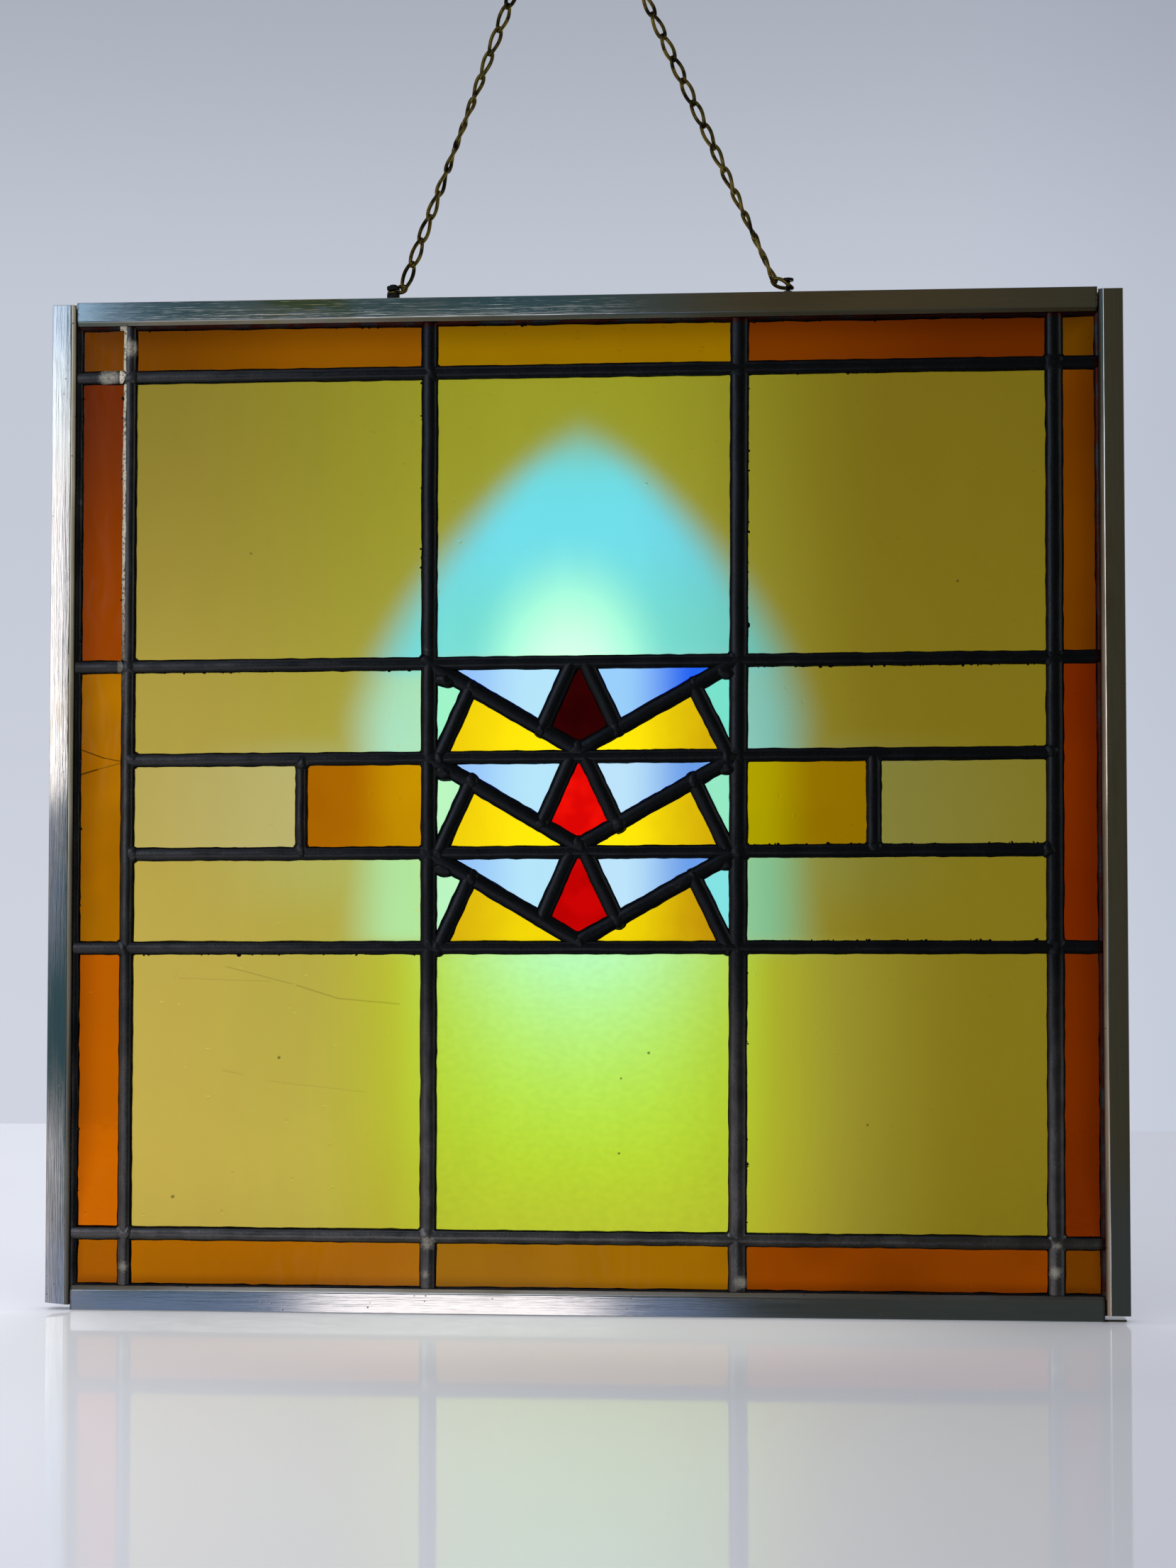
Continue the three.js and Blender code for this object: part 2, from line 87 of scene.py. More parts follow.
camera_data = bpy.data.cameras.new("camera")
camera_data.sensor_fit = "VERTICAL"
camera_data.sensor_height = 24
camera_data.lens = 39.06
camera_data.clip_start = 0.01
camera = bpy.data.objects.new("camera", camera_data)
camera.location = CAMERA_PLACE
camera.rotation_euler = CAMERA_LOOK.to_track_quat("-Z", "Y").to_euler()
bpy.context.scene.collection.objects.link(camera)
bpy.context.scene.camera = camera
bpy.context.scene.view_settings.view_transform = "Standard"
print("the camera is", round((CAMERA_PLACE - on_panel(254, 240)).length, 3), "m away")

# %% [markdown]
# ## Shader arithmetic
# A pattern is a sum of simple parts: noise, stripes, soft steps. Written with nodes it
# is hard to read, so a small class wraps one output of a node and lets Python's own
# signs add the Math nodes.

# %% Sockets that can be added and multiplied
class Wire:
    """One output of a node. Arithmetic on it adds Math nodes."""

    def __init__(self, graph, socket):
        self.graph, self.socket = graph, socket

    def math(self, operation, first, second):
        return self.graph.node("ShaderNodeMath", {"operation": operation}, {0: first, 1: second})

    def __add__(self, other):
        return self.math("ADD", self, other)

    def __sub__(self, other):
        return self.math("SUBTRACT", self, other)

    def __rsub__(self, other):
        return self.math("SUBTRACT", other, self)

    def __mul__(self, other):
        return self.math("MULTIPLY", self, other)

    def __truediv__(self, other):
        return self.math("DIVIDE", self, other)

    def __pow__(self, other):
        return self.math("POWER", self, other)

    __radd__ = __add__
    __rmul__ = __mul__


class Graph:
    """The nodes of one material, or of the world."""

    def __init__(self, tree):
        self.tree = tree
        tree.nodes.clear()

    def node(self, kind, settings=None, sockets=None, output=0):
        """Add a node, set it up, fill its sockets, and give back one output."""
        made = self.tree.nodes.new(kind)
        for name, value in (settings or {}).items():
            setattr(made, name, value)
        for name, value in (sockets or {}).items():
            if isinstance(value, Wire):
                self.tree.links.new(value.socket, made.inputs[name])
            else:
                made.inputs[name].default_value = value
        return Wire(self, made.outputs[output]) if made.outputs else made

    def place(self):
        """Object coordinates: metres, fixed to the piece."""
        return self.node("ShaderNodeTexCoord", output="Object")

    def axis(self, place, name):
        return self.node("ShaderNodeSeparateXYZ", sockets={0: place}, output=name)

    def stretch(self, place, factors):
        return self.node(
            "ShaderNodeVectorMath", {"operation": "MULTIPLY"}, {0: place, 1: factors}
        )

    def noise(self, place, per_metre, detail=3, roughness=0.55):
        return self.node(
            "ShaderNodeTexNoise",
            sockets={"Vector": place, "Scale": per_metre, "Detail": detail, "Roughness": roughness},
        )

    def step(self, value, low, high, to_low=0.0, to_high=1.0):
        """A soft step: to_low below low, to_high above high."""
        return self.node(
            "ShaderNodeMapRange",
            {"interpolation_type": "SMOOTHSTEP"},
            {
                "Value": value, "From Min": low, "From Max": high,
                "To Min": to_low, "To Max": to_high,
            },
        )

    def falling(self, value, low, high):
        """A soft step down: 1 below low, 0 above high."""
        return self.step(value, low, high, 1.0, 0.0)

    def band(self, value, low, full_from, full_to, high):
        """1 between full_from and full_to, fading to 0 at low and at high."""
        return self.step(value, low, full_from) * self.falling(value, full_to, high)

    def least(self, first, second):
        return self.node("ShaderNodeMath", {"operation": "MINIMUM"}, {0: first, 1: second})

    def most(self, first, second):
        return self.node("ShaderNodeMath", {"operation": "MAXIMUM"}, {0: first, 1: second})

    def size(self, value):
        return self.node("ShaderNodeMath", {"operation": "ABSOLUTE"}, {0: value})

    def blend(self, factor, first, second, way="MIX"):
        """Mix two colours."""
        settings = {"data_type": "RGBA", "blend_type": way}
        colours = [c if isinstance(c, Wire) else (*c, 1.0) for c in (first, second)]
        return self.node("ShaderNodeMix", settings, {0: factor, 6: colours[0], 7: colours[1]}, 2)

    def multiply(self, first, second):
        """Multiply two colours."""
        return self.blend(1.0, first, second, "MULTIPLY")

    def cells(self, place, per_metre):
        """How far the nearest of many scattered points is, as a share of a cell."""
        sockets = {"Vector": place, "Scale": per_metre}
        return self.node("ShaderNodeTexVoronoi", {"feature": "F1"}, sockets, "Distance")

    def bump(self, height, distance):
        sockets = {"Height": height, "Distance": distance, "Strength": 1.0}
        return self.node("ShaderNodeBump", sockets=sockets)

    def surface(self, sockets):
        """Finish a material with a Principled shader."""
        shader = self.node("ShaderNodeBsdfPrincipled", sockets=sockets)
        self.node("ShaderNodeOutputMaterial", sockets={"Surface": shader})


def new_material(name):
    """An empty material, and the graph of its nodes."""
    material = bpy.data.materials.new(name)
    material.use_nodes = True
    return material, Graph(material.node_tree)


WHITE = (1.0, 1.0, 1.0)
BLACK = (0.0, 0.0, 0.0)
print("shader arithmetic is ready")

# %% [markdown]
# ## Colours
# Colours are easiest to name as they look on a screen, from 0 to 255. Shaders need
# linear light, so one helper converts them. A second one gives the tint that a piece of
# glass needs to show a colour in front of the pale backdrop, or of another light.

# %% From screen colours to light
def light(look):
    """A screen colour as linear light."""
    return tuple(
        c / 255 / 12.92 if c <= 10 else ((c / 255 + 0.055) / 1.055) ** 2.4 for c in look
    )


BACKDROP = light((200, 205, 217))
CLEAR_GLASS = 0.9  # the share of light that untinted glass lets through


def tint(look, behind=BACKDROP):
    """The tint of glass that looks like this with that light behind it."""
    return tuple(min(1.0, c / b / CLEAR_GLASS) for c, b in zip(light(look), behind))


print("the backdrop's light is", [round(c, 3) for c in BACKDROP])

# %% [markdown]
# ## The room's light
# Metal shows what stands round it. Here that is a soft studio: a pale wall behind the
# panel, which the camera and the glass see, and on the camera's side a dim room, teal
# at the left and brown at the right. A tall window stands at the far left, and a low
# white screen left of the camera. The world shader paints them all by direction, so no
# lamp has to be placed for them.

# %% Directions in the room
world = bpy.data.worlds.new("studio")
world.use_nodes = True
bpy.context.scene.world = world
room = Graph(world.node_tree)
direction = room.node("ShaderNodeTexCoord", output="Generated")
dir_x = room.axis(direction, "X")
dir_y = room.axis(direction, "Y")
dir_z = room.axis(direction, "Z")
nearness = room.most(room.size(dir_y), 0.05)
sideways = dir_x / nearness
upwards = dir_z / nearness


def patch(left, right, low, high, soft):
    """1 inside a soft-edged rectangle of the room behind the camera, 0 outside."""
    inside = room.band(sideways, left - soft, left + soft, right - soft, right + soft)
    return inside * room.band(upwards, low - soft, low + soft, high - soft, high + soft)


print("the room is laid out by direction")

# %% Paint the wall and the dim side
WALL_FOOT, WALL_MIDDLE = light((207, 212, 224)), light((196, 201, 214))
WALL_TOP = light((168, 173, 186))
WALL_SHADE = (0.88, 0.9, 0.92)  # it darkens a little to the right
wall = room.blend(room.step(dir_z, -0.08, 0.2), WALL_FOOT, WALL_MIDDLE)
wall = room.blend(room.step(dir_z, 0.2, 0.36), wall, WALL_TOP)
wall = room.blend(room.step(sideways, 0.06, 0.2), wall, room.multiply(wall, WALL_SHADE))
DIM_TEAL, DIM_BROWN = light((52, 78, 84)), light((70, 61, 42))
DIM_RIGHT, DIM_TOP = light((58, 55, 43)), light((60, 62, 66))
dim = room.blend(room.step(sideways, -0.1, 0.0), DIM_TEAL, DIM_BROWN)
dim = room.blend(room.step(sideways, 0.04, 0.14), dim, DIM_RIGHT)
dim = room.blend(room.step(dir_z, 0.3, 0.5), dim, DIM_TOP)
print("the plain room has", len(world.node_tree.nodes), "nodes")

# %% Add what the metal mirrors
FAR_LEFT = -0.2785  # from here on outwards only the left channel mirrors the room
PATCHES = (  # left, right, low, high, softness, light; 9 is beyond the room
    (-0.7, -0.256, 0.1, 0.26, 0.014, light((100, 128, 148))),  # round the window
    (-0.22, -0.17, 0.2, 0.25, 0.02, light((84, 88, 80))),  # an olive shade beside it
    (-0.7, FAR_LEFT, 0.034, 0.5, 0.009, (1.72, 1.56, 1.50)),  # the window
    (-0.7, FAR_LEFT, 0.041, 0.078, 0.006, (2.3, 2.08, 1.98)),  # its bright sill
    (-0.7, FAR_LEFT, 0.17, 0.5, 0.01, (1.42, 1.52, 1.60)),  # its cooler top
    (-0.7, FAR_LEFT, 0.215, 0.5, 0.01, (0.82, 1.0, 1.26)),  # and its coolest part
    (-0.7, FAR_LEFT, -0.03, 0.03, 0.012, light((128, 134, 150))),  # below the sill
    (-0.7, FAR_LEFT, -0.5, -0.09, 0.009, light((192, 186, 188))),  # a pale floor there
    (-0.1, 9.0, -0.6, -0.12, 0.02, light((54, 58, 56))),  # the dark foot of the room
    (-0.3, -0.022, -0.4, -0.14, 0.016, light((108, 124, 152))),  # round the low screen
    (-0.182, -0.067, -0.4, -0.135, 0.010, (1.42, 1.30, 1.28)),  # the low screen
    (-0.3, -0.06, 0.158, 0.184, 0.004, (0.9, 0.87, 0.83)),  # a strip that the table mirrors
    (-0.46, -0.2, -9.0, -0.5, 0.1, light((176, 170, 160))),  # the floor by the window
    (-0.3, -0.1, 0.7, 1.5, 0.08, (0.9, 0.92, 0.98)),  # a pale beam overhead
    (0.55, 1.2, 0.0, 0.6, 0.1, light((232, 230, 218))),  # the far right
    (0.55, 1.2, -0.6, -0.1, 0.04, light((130, 132, 140))),  # and its floor
    (-9.0, -0.9, -0.9, 0.2, 0.1, light((186, 164, 144))),  # the far left wall
)
for *place_and_size, glow_light in PATCHES:
    dim = room.blend(patch(*place_and_size), dim, glow_light)
print("the dim side has", len(PATCHES), "patches of light")

# %% Choose what each kind of light sees
CEILING = (1.27, 1.27, 1.30)
seen = room.blend(room.step(dir_y, -0.1, 0.1), dim, wall)
# Dull surfaces get their light from a soft white ceiling, which no metal mirrors.
for_dull = room.node("ShaderNodeLightPath", output="Is Diffuse Ray")
ceiling = room.blend(room.step(dir_z, 0.3, 0.6), seen, CEILING)
seen = room.blend(for_dull, seen, ceiling)
# Straight on and through the glass, the room is the same pale wall on every side.
straight = room.node("ShaderNodeLightPath", output="Is Camera Ray")
through = room.node("ShaderNodeLightPath", output="Is Transmission Ray")
seen = room.blend(room.most(straight, through), seen, wall)
background = room.node("ShaderNodeBackground", sockets={"Color": seen, "Strength": 1.0})
room.node("ShaderNodeOutputWorld", sockets={"Surface": background})
print("the world has", len(world.node_tree.nodes), "nodes")

# %% [markdown]
# ## The table
# A plain pale table, a little glossy, stands under the panel's foot. It ends behind the
# panel, where the wall begins.

# %% Lay the table
TABLE_BACK = 0.909
TABLE_FRONT = -3.0
TABLE_WIDTH = 6.0
UNDER_FOOT = 0.0003  # a hair's gap, so that the foot doesn't cut into the table


def select_only(*pieces):
    bpy.ops.object.select_all(action="DESELECT")
    for piece in pieces:
        piece.select_set(True)
    bpy.context.view_layer.objects.active = pieces[0]


def named(piece, name):
    piece.name = name
    piece.data.name = name
    return piece


def place_now():
    """Write the selected piece's place, turn and size into its mesh."""
    bpy.ops.object.transform_apply(location=True, rotation=True, scale=True)


bpy.ops.object.select_all(action="DESELECT")
bpy.ops.mesh.primitive_plane_add(
    size=1, location=(0, (TABLE_BACK + TABLE_FRONT) / 2, PANEL_FOOT - UNDER_FOOT)
)
table = named(bpy.context.object, "table")
table.scale = (TABLE_WIDTH, TABLE_BACK - TABLE_FRONT, 1)
place_now()
table.visible_glossy = False  # the channel mirrors the room, not the table at its foot

print("the table's top is at", round(PANEL_FOOT, 4))

# %% Finish the table top
TABLE_LIGHT, TABLE_PALE = light((242, 244, 253)), light((248, 250, 255))
TABLE_RIGHT_SHADE = light((200, 202, 210))
FRONT_SHADE = (0.84, 0.84, 0.84)
STRIP_GLOW = (1.0, 0.99, 0.93)
STRIP_MIDDLE = 0.02
table_top, paint = new_material("table_top")
table_place = paint.place()
table_x, table_y = paint.axis(table_place, "X"), paint.axis(table_place, "Y")
haze = paint.noise(table_place, 3, 2)
table_colour = paint.blend(haze, TABLE_LIGHT, TABLE_PALE)
# Painted shade: the top is darker to the right and towards the camera.
table_colour = paint.blend(paint.step(table_x, -0.3, 0.32), table_colour, TABLE_RIGHT_SHADE)
near_camera = paint.falling(table_y, -0.6, -0.1)
table_colour = paint.blend(near_camera, table_colour, paint.multiply(table_colour, FRONT_SHADE))
# The panel shades the strip in front of its foot, so a painted glow gives that strip a little light
# back.
strip = paint.band(table_y, -0.17, -0.02, -0.012, -0.004)
strip = strip * paint.step(paint.size(table_x - STRIP_MIDDLE), 0.05, 0.26, 0.24, 0.05)
paint.surface({
    "Base Color": table_colour,
    "Roughness": 0.045,
    "Specular IOR Level": 0.11,
    "Emission Color": paint.blend(strip, BLACK, STRIP_GLOW),
    "Emission Strength": 1.0,
})
table.data.materials.append(table_top)
print("the table top's material has", len(table_top.node_tree.nodes), "nodes")

# %% [markdown]
# ## The lamp behind the glass
# A lamp stands close behind the middle of the panel. Through the glass it shows as a
# pointed arch with a white heart, and as a softer patch of light under the pattern.
# A card that gives light does this. It is only there for light that comes through the
# glass, so it never shows beside or behind the panel.

# %% Hang the lamp card
CARD_DEPTH = 45
CARD_BOX = (60, 445, 40, 478)  # left, right, top and bottom, in mm as seen on the panel


def behind_panel(across, drop, depth):
    """Where the line from the camera through a point of the panel meets a plane behind it."""
    front = on_panel(across, drop)
    return CAMERA_PLACE + (front - CAMERA_PLACE) * (1 - depth * MM / CAMERA_PLACE.y)


card_left, card_right, card_top, card_foot = CARD_BOX
card_low = behind_panel(card_left, card_foot, CARD_DEPTH)
card_high = behind_panel(card_right, card_top, CARD_DEPTH)
bpy.ops.mesh.primitive_plane_add(
    size=1, location=(card_low + card_high) / 2, rotation=(math.radians(90), 0, 0)
)
card = named(bpy.context.object, "lamp_card")
card.scale = (card_high.x - card_low.x, card_high.z - card_low.z, 1)
place_now()
card.visible_camera = False
card.visible_diffuse = False
card.visible_glossy = False
card.visible_shadow = False
print("the card spans", [round(v, 3) for v in (*card_low, *card_high)])

# %% The arch and its heart
lamp, glow = new_material("lamp_glow")
card_place = glow.place()
spread = 1 - CARD_DEPTH * MM / CAMERA_PLACE.y  # how much wider the card is than it looks
seen_x = (glow.axis(card_place, "X") - CAMERA_PLACE.x) / spread + CAMERA_PLACE.x
seen_z = (glow.axis(card_place, "Z") - CAMERA_PLACE.z) / spread + CAMERA_PLACE.z
across = (seen_x - PANEL_LEFT) / MM
drop = (seen_z * -1 + PANEL_TOP) / MM

# The arch: its half-width grows from the point down to its shoulders.
ARCH_MIDDLE = 254
ARCH_POINT = 57
ARCH_SHOULDER = 205
ARCH_HALF_WIDTH = 104
ARCH_BULGE = 1.6  # above 1 its sides are rounded
POOL_TOP = 308
from_middle = glow.size(across - ARCH_MIDDLE)
rise = glow.least(glow.most((ARCH_SHOULDER - drop) / (ARCH_SHOULDER - ARCH_POINT), 0.0), 1.0)
half_width = (1 - rise**ARCH_BULGE) * ARCH_HALF_WIDTH
arch = glow.step(half_width - from_middle, -15, 17)
arch = arch * glow.band(drop, 50, 90, POOL_TOP - 5, POOL_TOP + 5)
tail = glow.band(drop, 205, 222, POOL_TOP - 40, POOL_TOP - 5)
tail = tail * glow.step(from_middle, 120, 200, 0.16, 0.0)
HEART_MIDDLE = (249, 186)  # across and drop
HEART_REACH = (47, 68)
heart_across = (across - HEART_MIDDLE[0]) / HEART_REACH[0]
heart_drop = (drop - HEART_MIDDLE[1]) / HEART_REACH[1]
heart = glow.falling((heart_across**2 + heart_drop**2) ** 0.5, 0.1, 1.1)
print("the arch is", ARCH_HALF_WIDTH * 2, "mm wide and", POOL_TOP - ARCH_POINT, "mm high")

# %% The arch's colours
down_band = glow.step(drop, 172, 184)
low_band = glow.step(drop, 215, 275)
ARCH_TOP_LIGHT = (0.26, 1.26, 22.5)
ARCH_SIDE_LIGHT = (0.28, 1.22, 14.0)
ARCH_HEART_LIGHT = (1.08, 2.2, 17.5)
ARCH_BAND_LIGHT = (0.60, 1.28, 9.0)
ARCH_FOOT_LIGHT = (0.60, 1.20, 4.8)
ARCH_RIGHT_FACTOR = (0.68, 0.92, 1.35)
colour = glow.blend(glow.step(drop, 100, 165), ARCH_TOP_LIGHT, ARCH_SIDE_LIGHT)
colour = glow.blend(heart, colour, ARCH_HEART_LIGHT)
colour = glow.blend(down_band, colour, ARCH_BAND_LIGHT)
colour = glow.blend(low_band, colour, ARCH_FOOT_LIGHT)
rightwards = glow.step(across, 300, 335) * down_band
colour = glow.blend(rightwards, colour, glow.multiply(colour, ARCH_RIGHT_FACTOR))

# The amber panes beside the pattern show no blue: the light there is warm.
AMBER_FAR_LIGHT, AMBER_NEAR_LIGHT = (0.58, 0.61, 0.69), (0.85, 1.4, 0.7)
near_pattern = glow.falling(from_middle, 75, 132)
amber_light = glow.blend(near_pattern, AMBER_FAR_LIGHT, AMBER_NEAR_LIGHT)
colour = glow.blend(glow.band(drop, 218, 221, 262, 265), colour, amber_light)
print("the arch has", len(lamp.node_tree.nodes), "nodes so far")

# %% The pool of light, and the light behind the pattern
# The pool is green in the middle, and yellow further down and out.
POOL_RED = 0.66
POOL_FOOT, POOL_FADE = 440, 120
pool = glow.falling(from_middle, 82, 132) * glow.step(drop, POOL_TOP - 5, POOL_TOP + 5)
fall = glow.least(glow.most((POOL_FOOT - drop) / POOL_FADE, 0.0), 1.2)
side_fall = glow.falling(from_middle, 0, 92)
pool_green = fall * side_fall**0.5 * 0.5 + glow.step(drop, 380, 450, 0.9, 0.8)
pool_green = pool_green * glow.step(from_middle, 62, 100, 1.0, 0.86)
pool_blue = fall**3 * side_fall * 5.9 + 0.42
pool_light = glow.node(
    "ShaderNodeCombineColor", sockets={"Red": POOL_RED, "Green": pool_green, "Blue": pool_blue}
)
colour = glow.blend(glow.step(drop, POOL_TOP - 5, POOL_TOP + 5), colour, pool_light)

PATTERN_LIGHT = (1.15, 1.0, 1.0)
in_pattern = glow.band(across, 180, 183, 328, 331) * glow.band(drop, 172, 175, 307, 310)
colour = glow.blend(in_pattern, colour, PATTERN_LIGHT)
shown = glow.most(glow.most(arch, tail), pool)
lamp_light = glow.node("ShaderNodeEmission", sockets={"Color": colour, "Strength": 1.0})
see_past = glow.node("ShaderNodeBsdfTransparent")
card_shader = glow.node(
    "ShaderNodeMixShader", sockets={0: shown, 1: see_past, 2: lamp_light}
)
glow.node("ShaderNodeOutputMaterial", sockets={"Surface": card_shader})
card.data.materials.append(lamp)
print("the lamp's material has", len(lamp.node_tree.nodes), "nodes")

# %% [markdown]
# ## Glass
# Old cathedral glass isn't even: it is streaky, it has ripples from the rollers, small
# seeds of trapped air, and here a few scratches and a crack. The panes already have
# their right shape, so each keeps its mesh and gets a clear glass finish. The olive
# panes scatter the light a little, which blurs what stands behind them.

# %% Places and flaws on the panel
def panel_axes(graph):
    """Object coordinates, and the panel's own across and drop in mm."""
    place = graph.place()
    across = (graph.axis(place, "X") - PANEL_LEFT) / MM
    drop = (PANEL_TOP - graph.axis(place, "Z")) / MM
    return place, across, drop


def distance_from(across, drop, spot_across, spot_drop):
    """How far a point of the panel is from a spot, in mm."""
    return ((across - spot_across) ** 2 + (drop - spot_drop) ** 2) ** 0.5


def hairline(graph, across, drop, start, end, width):
    """1 on a fine straight line between two points of the panel, 0 elsewhere."""
    line = Vector(end) - Vector(start)
    unit = line.normalized()
    right, down = across - start[0], drop - start[1]
    along = right * unit.x + down * unit.y
    aside = graph.size(down * unit.x - right * unit.y)
    on_it = graph.falling(aside, width * 0.3, width * 0.8)
    return on_it * graph.band(along, -0.3, 0.3, line.length, line.length + 0.6)


print("flaws can be drawn")

# %% The finish of one kind of glass
STREAK_SHADE = (0.93, 0.93, 0.93)
STREAK_FORM = (1.0, 1.0, 0.22)  # streaks are long from top to foot
RIPPLE_FORM = (1.0, 1.0, 0.55)
DARK_FLAW = (0.02, 0.004, 0.0)
RIPPLE, FINE_RIPPLE, SEED_BUMP = 0.25, 0.03, 0.3
GLASS_RELIEF = 0.0006


def glass_finish(name, paint, roughness, lines=(), specks=(), flaw_colour=DARK_FLAW):
    """A glass material. paint(graph, place, across, drop) gives its tint.

    lines are cracks and scratches: start, end, width and strength. specks are dark
    seeds: across, drop and radius.
    """
    material, graph = new_material(name)
    place, across, drop = panel_axes(graph)
    tinted = paint(graph, place, across, drop)
    streaks = graph.noise(graph.stretch(place, STREAK_FORM), 55, 3)
    tinted = graph.multiply(tinted, graph.blend(streaks, STREAK_SHADE, WHITE))
    for start, end, width, strength in lines:
        line = hairline(graph, across, drop, start, end, width)
        tinted = graph.blend(line * strength, tinted, flaw_colour)
    for speck_across, speck_drop, radius in specks:
        away = distance_from(across, drop, speck_across, speck_drop)
        tinted = graph.blend(graph.step(away, radius * 0.5, radius, 0.7, 0.0), tinted, flaw_colour)
    wave = graph.noise(graph.stretch(place, RIPPLE_FORM), 90, 2)
    fine = graph.noise(place, 420, 2)
    seed = graph.falling(graph.cells(place, 75), 0.035, 0.07)
    relief = wave * RIPPLE + fine * FINE_RIPPLE + seed * SEED_BUMP
    graph.surface({
        "Base Color": tinted,
        "Roughness": roughness,
        "IOR": 1.5,
        "Transmission Weight": 1.0,
        "Specular Tint": (0.16, 0.16, 0.16, 1.0),
        "Normal": graph.bump(relief, GLASS_RELIEF),
    })
    return material


def lit_tint(look):
    """The tint of the pattern's glass, which has the lamp behind it."""
    return tint(look, PATTERN_LIGHT)


def even_tint(first, second, grain):
    """A tint that wanders between two colours."""

    def paint(graph, place, across, drop):
        wander = graph.step(graph.noise(place, grain, 2), 0.35, 0.65)
        return graph.blend(wander, first, second)

    return paint


print("glass finishes can be made")

# %% Olive glass for the large panes
DIMPLE_SHADE = (0.94, 0.95, 0.93)


def olive(graph, place, across, drop):
    """Paler and warmer at the lower left, greener and darker to the right."""
    to_right = graph.step(across, 40, 430)
    down = graph.step(drop, 20, 330)
    left = graph.blend(down, tint((136, 122, 42)), tint((188, 168, 76)))
    right = graph.blend(down, tint((118, 104, 22)), tint((124, 110, 24)))
    middle = graph.blend(down, tint((152, 153, 38)), tint((172, 172, 62)))
    from_middle = graph.size(across - 250)
    right_reach = graph.step(drop, 300, 312, 1.5, 1.15)
    outwards = graph.most((across - 250) * right_reach, (250 - across) * 1.1)
    near_middle = graph.falling(outwards, 20, 225)
    body = graph.blend(near_middle, graph.blend(to_right, left, right), middle)
    # The left panes grow no brighter towards the foot.
    fade = graph.step(drop, 170, 260) * 0.10 + graph.step(drop, 350, 450) * 0.16
    body = graph.blend(fade * graph.falling(across, 60, 230), body, BLACK)
    # The two outer panes of the middle row are paler, most of all beside the amber.
    row = graph.band(drop, 216, 219, 264, 267)
    pale = graph.blend(graph.step(across, 240, 260), tint((188, 184, 136)), tint((124, 134, 78)))
    body = graph.blend(row * graph.step(from_middle, 120, 230, 0.46, 0.14), body, pale)
    # The lower middle pane is hammered: the shade of small dimples all over it is painted into its
    # tint.
    hammered = graph.step(drop, 308, 312) * graph.falling(from_middle, 66, 74)
    dimples = graph.noise(graph.stretch(place, (1.0, 1.0, 1.5)), 230, 2, 0.6)
    dimples = graph.blend(graph.step(dimples, 0.36, 0.64), DIMPLE_SHADE, WHITE)
    return graph.blend(hammered, body, graph.multiply(body, dimples))


SCRATCHES = (  # start, end, width and strength
    ((85, 318), (118, 326.5), 0.5, 0.22), ((118, 326.5), (139, 333), 0.6, 0.26),
    ((139, 333), (168, 335.5), 0.6, 0.24), ((60, 323.5), (106, 325), 0.5, 0.12),
    ((104, 372), (152, 377), 0.5, 0.10), ((83, 367), (93, 369), 0.5, 0.14),
)
SEEDS = (  # across, drop and radius
    (60, 427, 1.0), (110.7, 361, 0.9), (286, 358, 0.9), (272, 405, 0.8), (273, 370, 0.7),
    (431, 137, 0.8), (96, 121, 0.6), (388, 391, 0.7),
)
OLIVE_FLAW = (0.06, 0.05, 0.01)
GLASS = {"olive": glass_finish("glass_olive", olive, 0.24, SCRATCHES, SEEDS, OLIVE_FLAW)}
print("the olive glass has", len(SCRATCHES), "scratches and", len(SEEDS), "seeds")

# %% Glass for the pattern
def blue(graph, place, across, drop):
    """Milky towards the middle, deeper towards both ends, deepest at the upper right."""
    first_row = graph.falling(drop, 200, 222)
    far_left, near_left = lit_tint((146, 190, 250)), lit_tint((178, 224, 253))
    left = graph.blend(graph.step(across, 196, 232), far_left, near_left)
    pale = graph.blend(first_row, lit_tint((184, 222, 252)), lit_tint((150, 202, 255)))
    deep = graph.blend(first_row, lit_tint((104, 154, 228)), lit_tint((34, 98, 232)))
    right = graph.blend(graph.step(across, 272, 308), pale, deep)
    return graph.blend(graph.step(across, 250, 256), left, right)


def yellow(graph, place, across, drop):
    """Lemon at the middle, warmer outwards, and warmest in the lowest pair."""
    lowest = graph.step(drop, 262, 284)
    near = graph.blend(lowest, lit_tint((254, 230, 8)), lit_tint((238, 210, 6)))
    far_left = graph.blend(lowest, lit_tint((234, 200, 10)), lit_tint((212, 174, 12)))
    far_right = graph.blend(lowest, lit_tint((206, 168, 8)), lit_tint((188, 142, 8)))
    far = graph.blend(graph.step(across, 250, 256), far_left, far_right)
    outwards = graph.step(graph.size(across - 253) + graph.noise(place, 60, 2) * 14, 24, 72)
    return graph.blend(outwards, near, far)


def mint(graph, place, across, drop):
    """Paler on the left; each side changes a little from row to row."""
    later = graph.step(drop, 205, 228)
    left = graph.blend(later, lit_tint((155, 238, 192)), lit_tint((183, 240, 188)))
    right = graph.blend(later, lit_tint((118, 220, 195)), lit_tint((146, 229, 192)))
    right = graph.blend(graph.step(drop, 255, 275), right, lit_tint((128, 221, 220)))
    return graph.blend(graph.step(across, 240, 260), left, right)


def red(look, deeper):
    """Red glass in cloudy patches of two strengths."""
    return even_tint(lit_tint(look), lit_tint(deeper), grain=60)


GLASS["blue"] = glass_finish("glass_blue", blue, 0.12)
GLASS["yellow"] = glass_finish("glass_yellow", yellow, 0.10)
GLASS["mint"] = glass_finish("glass_mint", mint, 0.16)
GLASS["kite_1"] = glass_finish("glass_maroon", red((48, 1, 2), (40, 0, 1)), 0.10)
GLASS["kite_2"] = glass_finish("glass_red", red((236, 14, 4), (214, 4, 2)), 0.10)
GLASS["kite_3"] = glass_finish("glass_deep_red", red((200, 2, 2), (182, 0, 0)), 0.10)
print("finishes so far:", ", ".join(GLASS))

